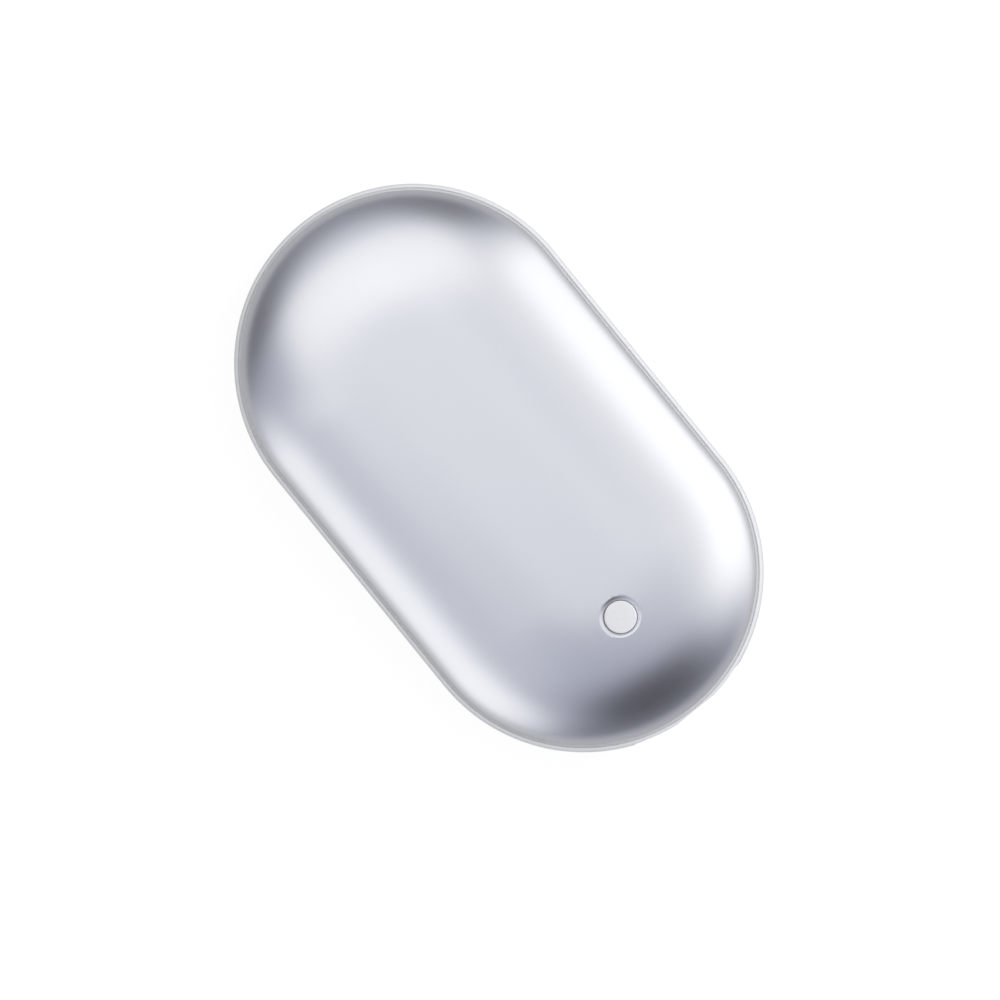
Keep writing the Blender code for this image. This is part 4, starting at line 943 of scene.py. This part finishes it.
def polyimide_heater_film():
    """Amber polyimide film over an etched foil track 1.2 mm wide, laid every 2 mm."""
    made, place, grained = new_finish(
        "polyimide_heater_film", 1.5 * MM, (0xC98A2E, 0xD3953A), (0.25, 0.36), 0.01 * MM, IOR=1.7
    )
    tree = made.node_tree
    laid = {"Vector": place, "Scale": math.pi / 10 / (2 * MM), "Distortion": 0.0}
    lanes = add_node(tree, "ShaderNodeTexWave", {}, laid).outputs["Fac"]
    edges = {"From Min": 0.32, "From Max": 0.42}
    track = add_node(tree, "ShaderNodeMapRange", {}, {"Value": lanes, **edges}).outputs["Result"]
    lay_pattern(made, track, grained, 0x9A5A1E, 0.03 * MM)
    return made


def silicone_foam():
    """Grey silicone foam: dull, with open cells about 0.6 mm across."""
    made, place, grained = new_finish(
        "grey_silicone_foam", 1.2 * MM, (0x8A8C90, 0x97999D), (0.85, 0.95), 0.02 * MM, IOR=1.41
    )
    spacing = {"Vector": place, "Scale": 1 / (0.6 * MM)}
    cells = add_node(made.node_tree, "ShaderNodeTexVoronoi", {}, spacing)
    lay_pattern(made, cells.outputs["Distance"], grained, height=0.15 * MM)
    return made


def green_board():
    """Glass fibre board under green solder mask: half gloss, paler over its tracks and vias.

    The tracks are 0.4 mm wide at a pitch of 1.1 mm, and turn at 45 degrees.
    """
    made, place, grained = new_finish(
        "green_masked_fibreglass", 0.8 * MM, (0x12653C, 0x177044), (0.3, 0.42), 0.004 * MM, IOR=1.55
    )
    tree = made.node_tree
    copper, y, _ = add_node(tree, "ShaderNodeSeparateXYZ", {}, {0: place}).outputs
    areas = add_node(tree, "ShaderNodeTexNoise", {}, {"Vector": place, "Scale": 1 / (9 * MM)})
    areas = {0: areas.outputs["Fac"], 1: 0.47}
    wired = add_node(tree, "ShaderNodeMath", {"operation": "GREATER_THAN"}, areas).outputs[0]
    cells = add_node(tree, "ShaderNodeTexVoronoi", {}, {"Vector": place, "Scale": 1 / (4 * MM)})
    cells = {0: cells.outputs["Distance"], 1: 0.09}
    vias = add_node(tree, "ShaderNodeMath", {"operation": "LESS_THAN"}, cells).outputs[0]
    for operation, value in (
        ("PINGPONG", 4.5 * MM),
        ("MINIMUM", 2.2 * MM),
        ("ADD", y),
        ("PINGPONG", 0.55 * MM),
        ("LESS_THAN", 0.2 * MM),
        ("MULTIPLY", wired),
        ("MAXIMUM", vias),
    ):
        step = {"operation": operation}
        copper = add_node(tree, "ShaderNodeMath", step, {0: copper, 1: value}).outputs[0]
    lay_pattern(made, copper, grained, 0x2C8A58, 0.03 * MM)
    return made


def moulded_epoxy():
    """Black moulded epoxy, as chips have: dull, with a fine even grain."""
    return new_finish(
        "black_moulded_epoxy", 0.12 * MM, (0x1B1B1C, 0x2B2B2D), (0.55, 0.72), 0.004 * MM, IOR=1.55
    )[0]


def pressed_ferrite():
    """Pressed and fired ferrite: dark grey and dry, with a powdery grain."""
    return new_finish(
        "pressed_grey_ferrite", 0.18 * MM, (0x4A4A4C, 0x5E5E61), (0.6, 0.78), 0.01 * MM, IOR=1.6
    )[0]


def tinned_ceramic():
    """Tan fired ceramic with tinned ends, as chip capacitors have."""
    made, place, grained = new_finish(
        "tan_tinned_ceramic", 0.15 * MM, (0xA98A62, 0xB9986E), (0.35, 0.5), 0.004 * MM, IOR=1.6
    )
    tree = made.node_tree
    x = add_node(tree, "ShaderNodeSeparateXYZ", {}, {0: place}).outputs[0]
    middle = {0: x, 1: CAPACITOR_X, 2: CAPACITOR_HALF_BODY}
    body = add_node(tree, "ShaderNodeMath", {"operation": "COMPARE"}, middle).outputs[0]
    ends = add_node(tree, "ShaderNodeMath", {"operation": "SUBTRACT"}, {0: 1.0, 1: body}).outputs[0]
    lay_pattern(made, ends, grained, 0xC4C4C2)
    tree.links.new(ends, grained[0].inputs["Metallic"])
    return made


def phosphor_under_resin():
    """Yellow phosphor under clear resin: an unlit small lamp, glossy over a powdery yellow."""
    return new_finish(
        "yellow_phosphor", 0.15 * MM, (0xE9D873, 0xF2E592), (0.35, 0.5), 0.003 * MM,
        IOR=1.5, Coat_Weight=0.6
    )[0]


def zinc_plated_steel():
    """Bright zinc plate on a turned screw: a bluish metal with slight blotches."""
    return new_finish(
        "zinc_plated_steel", 0.4 * MM, (0xC3C7CC, 0xD2D6DA), (0.24, 0.38), 0.003 * MM, Metallic=1.0
    )[0]


def silicone_insulation(name, dark, light):
    """Silicone wire insulation: soft and dull, with a little dust in it."""
    return new_finish(name, 0.5 * MM, (dark, light), (0.5, 0.66), 0.004 * MM, IOR=1.41)[0]


def make_finishes():
    """The finish of each of the record's slots."""
    return {
        "shell_aluminium": anodised_aluminium(),
        "frame_plastic": white_abs(),
        "button_plastic": milky_polycarbonate(),
        "cell_can": blue_shrink_sleeve(),
        "nickel": spot_welded_nickel(),
        "washer_paper": barley_paper(),
        "heater_film": polyimide_heater_film(),
        "foam": silicone_foam(),
        "board": green_board(),
        "port_steel": nickel_plated_steel(),
        "port_plastic": black_nylon(),
        "chip_epoxy": moulded_epoxy(),
        "ferrite": pressed_ferrite(),
        "capacitor_ceramic": tinned_ceramic(),
        "led": phosphor_under_resin(),
        "clear_plastic": frosted_polycarbonate(),
        "screw_steel": zinc_plated_steel(),
        "red_lead": silicone_insulation("red_silicone", 0xC22A22, 0xCF3A31),
        "black_lead": silicone_insulation("black_silicone", 0x18181A, 0x26262A),
        "white_lead": silicone_insulation("white_silicone", 0xE4E4E2, 0xEEEEEC),
    }


def dress_kept_nodes(finishes):
    """Give every CAD node the finish of its slot."""
    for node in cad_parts.values():
        for place in node.material_slots:
            place.material = finishes[place.material.name]


def white_share(tree, to_camera, to_gloss):
    """How much plain white stands in for the lit surface, by what kind of ray sees it."""
    path = add_node(tree, "ShaderNodeLightPath").outputs
    seen = {0: path["Is Camera Ray"], 1: to_camera}
    camera = add_node(tree, "ShaderNodeMath", {"operation": "MULTIPLY"}, seen).outputs[0]
    share = path["Is Glossy Ray"]
    for operation, value in (
        ("MAXIMUM", path["Is Transmission Ray"]),
        ("MULTIPLY", to_gloss),
        ("MAXIMUM", camera),
    ):
        step = {"operation": operation}
        share = add_node(tree, "ShaderNodeMath", step, {0: share, 1: value}).outputs[0]
    return share


def new_studio_material(name):
    """An empty material for a studio piece, and its node tree."""
    made = bpy.data.materials.new(name)
    made.use_nodes = True
    made.node_tree.nodes.clear()
    return made, made.node_tree


def cover(piece, made, surface):
    """Give a studio piece its material, whose surface is the node given."""
    add_node(made.node_tree, "ShaderNodeOutputMaterial", {}, {"Surface": surface.outputs[0]})
    piece.data.materials.append(made)


def make_floor():
    """The pale paper floor, shown white, which keeps part of its soft shadow."""
    deselect_all()
    bpy.ops.mesh.primitive_plane_add(size=FLOOR_SIZE)
    floor = bpy.context.object
    floor.name = "floor"
    made, tree = new_studio_material("white_paper_floor")
    lit = add_node(tree, "ShaderNodeBsdfDiffuse", {}, {"Color": linear(0xE6E6E8)})
    white = add_node(tree, "ShaderNodeEmission", {}, {"Color": (1, 1, 1, 1), "Strength": FLOOR_WHITE})
    share = white_share(tree, FLOOR_TO_CAMERA, FLOOR_TO_GLOSS)
    both = {0: share, 1: lit.outputs[0], 2: white.outputs[0]}
    cover(floor, made, add_node(tree, "ShaderNodeMixShader", {}, both))


def make_world():
    """An even white room: full white where it is seen, and as light softer from -X and +Y."""
    world = bpy.data.worlds.new("white_room")
    bpy.context.scene.world = world
    world.use_nodes = True
    tree = world.node_tree
    facing = add_node(tree, "ShaderNodeTexCoord").outputs["Generated"]
    sides = {0: facing, 1: ROOM_BRIGHT_SIDE}
    toward = add_node(tree, "ShaderNodeVectorMath", {"operation": "DOT_PRODUCT"}, sides).outputs["Value"]
    span = {"From Min": -1.0, "From Max": 1.0, "To Min": ROOM_LIGHT[0], "To Max": ROOM_LIGHT[1]}
    light = add_node(tree, "ShaderNodeMapRange", {}, {"Value": toward, **span}).outputs["Result"]
    levels = {0: white_share(tree, 1.0, 1.0), 2: light, 3: 1.0}
    strength = add_node(tree, "ShaderNodeMix", {"data_type": "FLOAT"}, levels).outputs[0]
    background = tree.nodes["Background"]
    background.inputs["Color"].default_value = (1, 1, 1, 1)
    tree.links.new(strength, background.inputs["Strength"])


def panel_mask(tree, facing, azimuth, zenith, wide, tall, inner):
    """How far a direction lies inside a soft oval panel of the tent, from 0 outside to 1."""
    turn, lean = math.radians(azimuth), math.radians(zenith)
    aim = Vector((math.sin(lean) * math.cos(turn), math.sin(lean) * math.sin(turn), math.cos(lean)))
    along = Vector((-math.sin(turn), math.cos(turn), 0))
    over = aim.cross(along)
    dots = []
    for axis in (along / wide, over / tall, aim):
        dot = add_node(tree, "ShaderNodeVectorMath", {"operation": "DOT_PRODUCT"}, {0: facing, 1: axis})
        dots.append(dot.outputs["Value"])
    offset = add_node(tree, "ShaderNodeCombineXYZ", {}, {0: dots[0], 1: dots[1]}).outputs[0]
    reach = add_node(tree, "ShaderNodeVectorMath", {"operation": "LENGTH"}, {0: offset}).outputs["Value"]
    edges = {"Value": reach, "From Min": 1.0, "From Max": inner}
    soft = add_node(tree, "ShaderNodeMapRange", {"interpolation_type": "SMOOTHSTEP"}, edges)
    ahead = add_node(tree, "ShaderNodeMath", {"operation": "GREATER_THAN"}, {0: dots[2], 1: 0.0})
    both = {0: soft.outputs["Result"], 1: ahead.outputs[0]}
    return add_node(tree, "ShaderNodeMath", {"operation": "MULTIPLY"}, both).outputs[0]


def hide_from_light(piece):
    """Leave a studio piece to be seen in reflections alone."""
    piece.visible_camera = False
    piece.visible_diffuse = False
    piece.visible_shadow = False
    piece.visible_transmission = False


def make_tent():
    """The light tent: bright along both long sides of the warmer, with dark cloths at its ends."""
    deselect_all()
    bpy.ops.mesh.primitive_uv_sphere_add(
        segments=TENT_SEGMENTS, ring_count=TENT_RINGS, radius=TENT_RADIUS
    )
    tent = edit_new_piece("light_tent")
    bpy.ops.mesh.select_all(action="SELECT")
    bpy.ops.mesh.bisect(plane_co=(0, 0, MM), plane_no=(0, 0, 1), clear_inner=True)
    bpy.ops.object.mode_set(mode="OBJECT")
    bpy.ops.object.shade_smooth()
    hide_from_light(tent)
    made, tree = new_studio_material("tent_cloth")
    place = add_node(tree, "ShaderNodeTexCoord").outputs["Object"]
    facing = add_node(tree, "ShaderNodeVectorMath", {"operation": "NORMALIZE"}, {0: place}).outputs[0]
    level = TENT_LEVEL
    for *panel, amount in TENT_FLAGS:
        dimming = {0: panel_mask(tree, facing, *panel), 1: -amount, 2: 1.0}
        shade = add_node(tree, "ShaderNodeMath", {"operation": "MULTIPLY_ADD"}, dimming).outputs[0]
        both = {0: level, 1: shade}
        level = add_node(tree, "ShaderNodeMath", {"operation": "MULTIPLY"}, both).outputs[0]
    for *panel, amount in TENT_LAMPS:
        adding = {0: panel_mask(tree, facing, *panel), 1: amount, 2: level}
        level = add_node(tree, "ShaderNodeMath", {"operation": "MULTIPLY_ADD"}, adding).outputs[0]
    blend = {0: level, 6: TENT_TINT, 7: (1, 1, 1, 1)}
    tint = add_node(tree, "ShaderNodeMix", {"data_type": "RGBA"}, blend).outputs[2]
    dimmed = {0: level, 1: TENT_GLOW}
    glow = add_node(tree, "ShaderNodeMath", {"operation": "MULTIPLY"}, dimmed).outputs[0]
    cover(tent, made, add_node(tree, "ShaderNodeEmission", {}, {"Color": tint, "Strength": glow}))


def make_base_cloth():
    """The grey cloth under the tent, with a painted shadow that darkens it near the warmer, which only
    metal and gloss see.
    """
    deselect_all()
    bpy.ops.mesh.primitive_circle_add(
        vertices=ROUND_STEPS, radius=TENT_RADIUS, fill_type="NGON", location=(0, 0, CLOTH_Z)
    )
    cloth = edit_new_piece("base_cloth")
    bpy.ops.object.mode_set(mode="OBJECT")
    hide_from_light(cloth)
    made, tree = new_studio_material("grey_cloth_with_painted_shadow")
    place = add_node(tree, "ShaderNodeTexCoord").outputs["Object"]
    reach = add_node(tree, "ShaderNodeVectorMath", {"operation": "LENGTH"}, {0: place}).outputs["Value"]
    # Painted shadow: the cloth's glow falls from its far level to its near one towards the warmer
    near, dark = CLOTH_PAINTED_SHADOW_NEAR
    far, light = CLOTH_FAR
    span = {"From Min": near, "From Max": far, "To Min": dark, "To Max": light}
    soft = {"interpolation_type": "SMOOTHSTEP"}
    level = add_node(tree, "ShaderNodeMapRange", soft, {"Value": reach, **span}).outputs["Result"]
    cover(cloth, made, add_node(tree, "ShaderNodeEmission", {}, {"Strength": level}))


def make_key_lamp():
    """A soft area lamp aimed at the warmer from over its right side."""
    deselect_all()
    aim = (Vector((0, 0, MID_Z)) - Vector(KEY_PLACE)).to_track_quat("-Z", "Y").to_euler()
    bpy.ops.object.light_add(type="AREA", location=KEY_PLACE, rotation=aim)
    lamp = bpy.context.object
    lamp.name = "key_lamp"
    lamp.data.shape = "RECTANGLE"
    lamp.data.size, lamp.data.size_y = KEY_SIZE
    lamp.data.energy = KEY_POWER
    lamp.visible_glossy = False


def make_camera():
    """The camera over the front face, turned so that the port end points to the lower right."""
    right = Vector(VIEW_RIGHT).normalized()
    up = Vector(VIEW_UP).normalized()
    target = Vector((0, AIM_Y, MID_Z))
    target += (right * AIM_PIXELS[0] + up * AIM_PIXELS[1]) * PIXEL
    back = (Vector((0, 0, 1)) - right * VIEW_LEAN_RIGHT - Vector((0, VIEW_LEAN_Y, 0))).normalized()
    side = up.cross(back).normalized()
    turn = Matrix((side, back.cross(side), back)).transposed().to_euler()
    deselect_all()
    bpy.ops.object.camera_add(location=target + back * CAMERA_DISTANCE, rotation=turn)
    camera = bpy.context.object
    camera.data.sensor_width = SENSOR_WIDTH
    camera.data.lens = SENSOR_WIDTH * CAMERA_DISTANCE / (FRAME_PIXELS * PIXEL)
    camera.data.clip_start = 0.01
    camera.data.clip_end = 20.0
    bpy.context.scene.camera = camera


def main():
    """Dress the frame, and set up the studio."""
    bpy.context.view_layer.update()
    bpy.context.scene.view_settings.view_transform = "Standard"
    finishes = make_finishes()
    dress_kept_nodes(finishes)

    front = make_shell("front_cover")
    back = copy_piece(front, "back_cover", mirror_z=MID_Z)
    cut(front, make_button_cutter())
    dress(front, finishes, "case", "shell_aluminium", "front_shell", angle=22)
    dress(back, finishes, "case", "shell_aluminium", "back_shell", angle=22)
    dress(make_button(), finishes, "button", "button_plastic", "power_button")
    dress(make_mid_frame(), finishes, "case", "frame_plastic", "mid_frame")
    make_usb_a(finishes)
    make_usb_c(finishes)

    make_floor()
    make_world()
    make_tent()
    make_base_cloth()
    make_key_lamp()
    make_camera()


main()
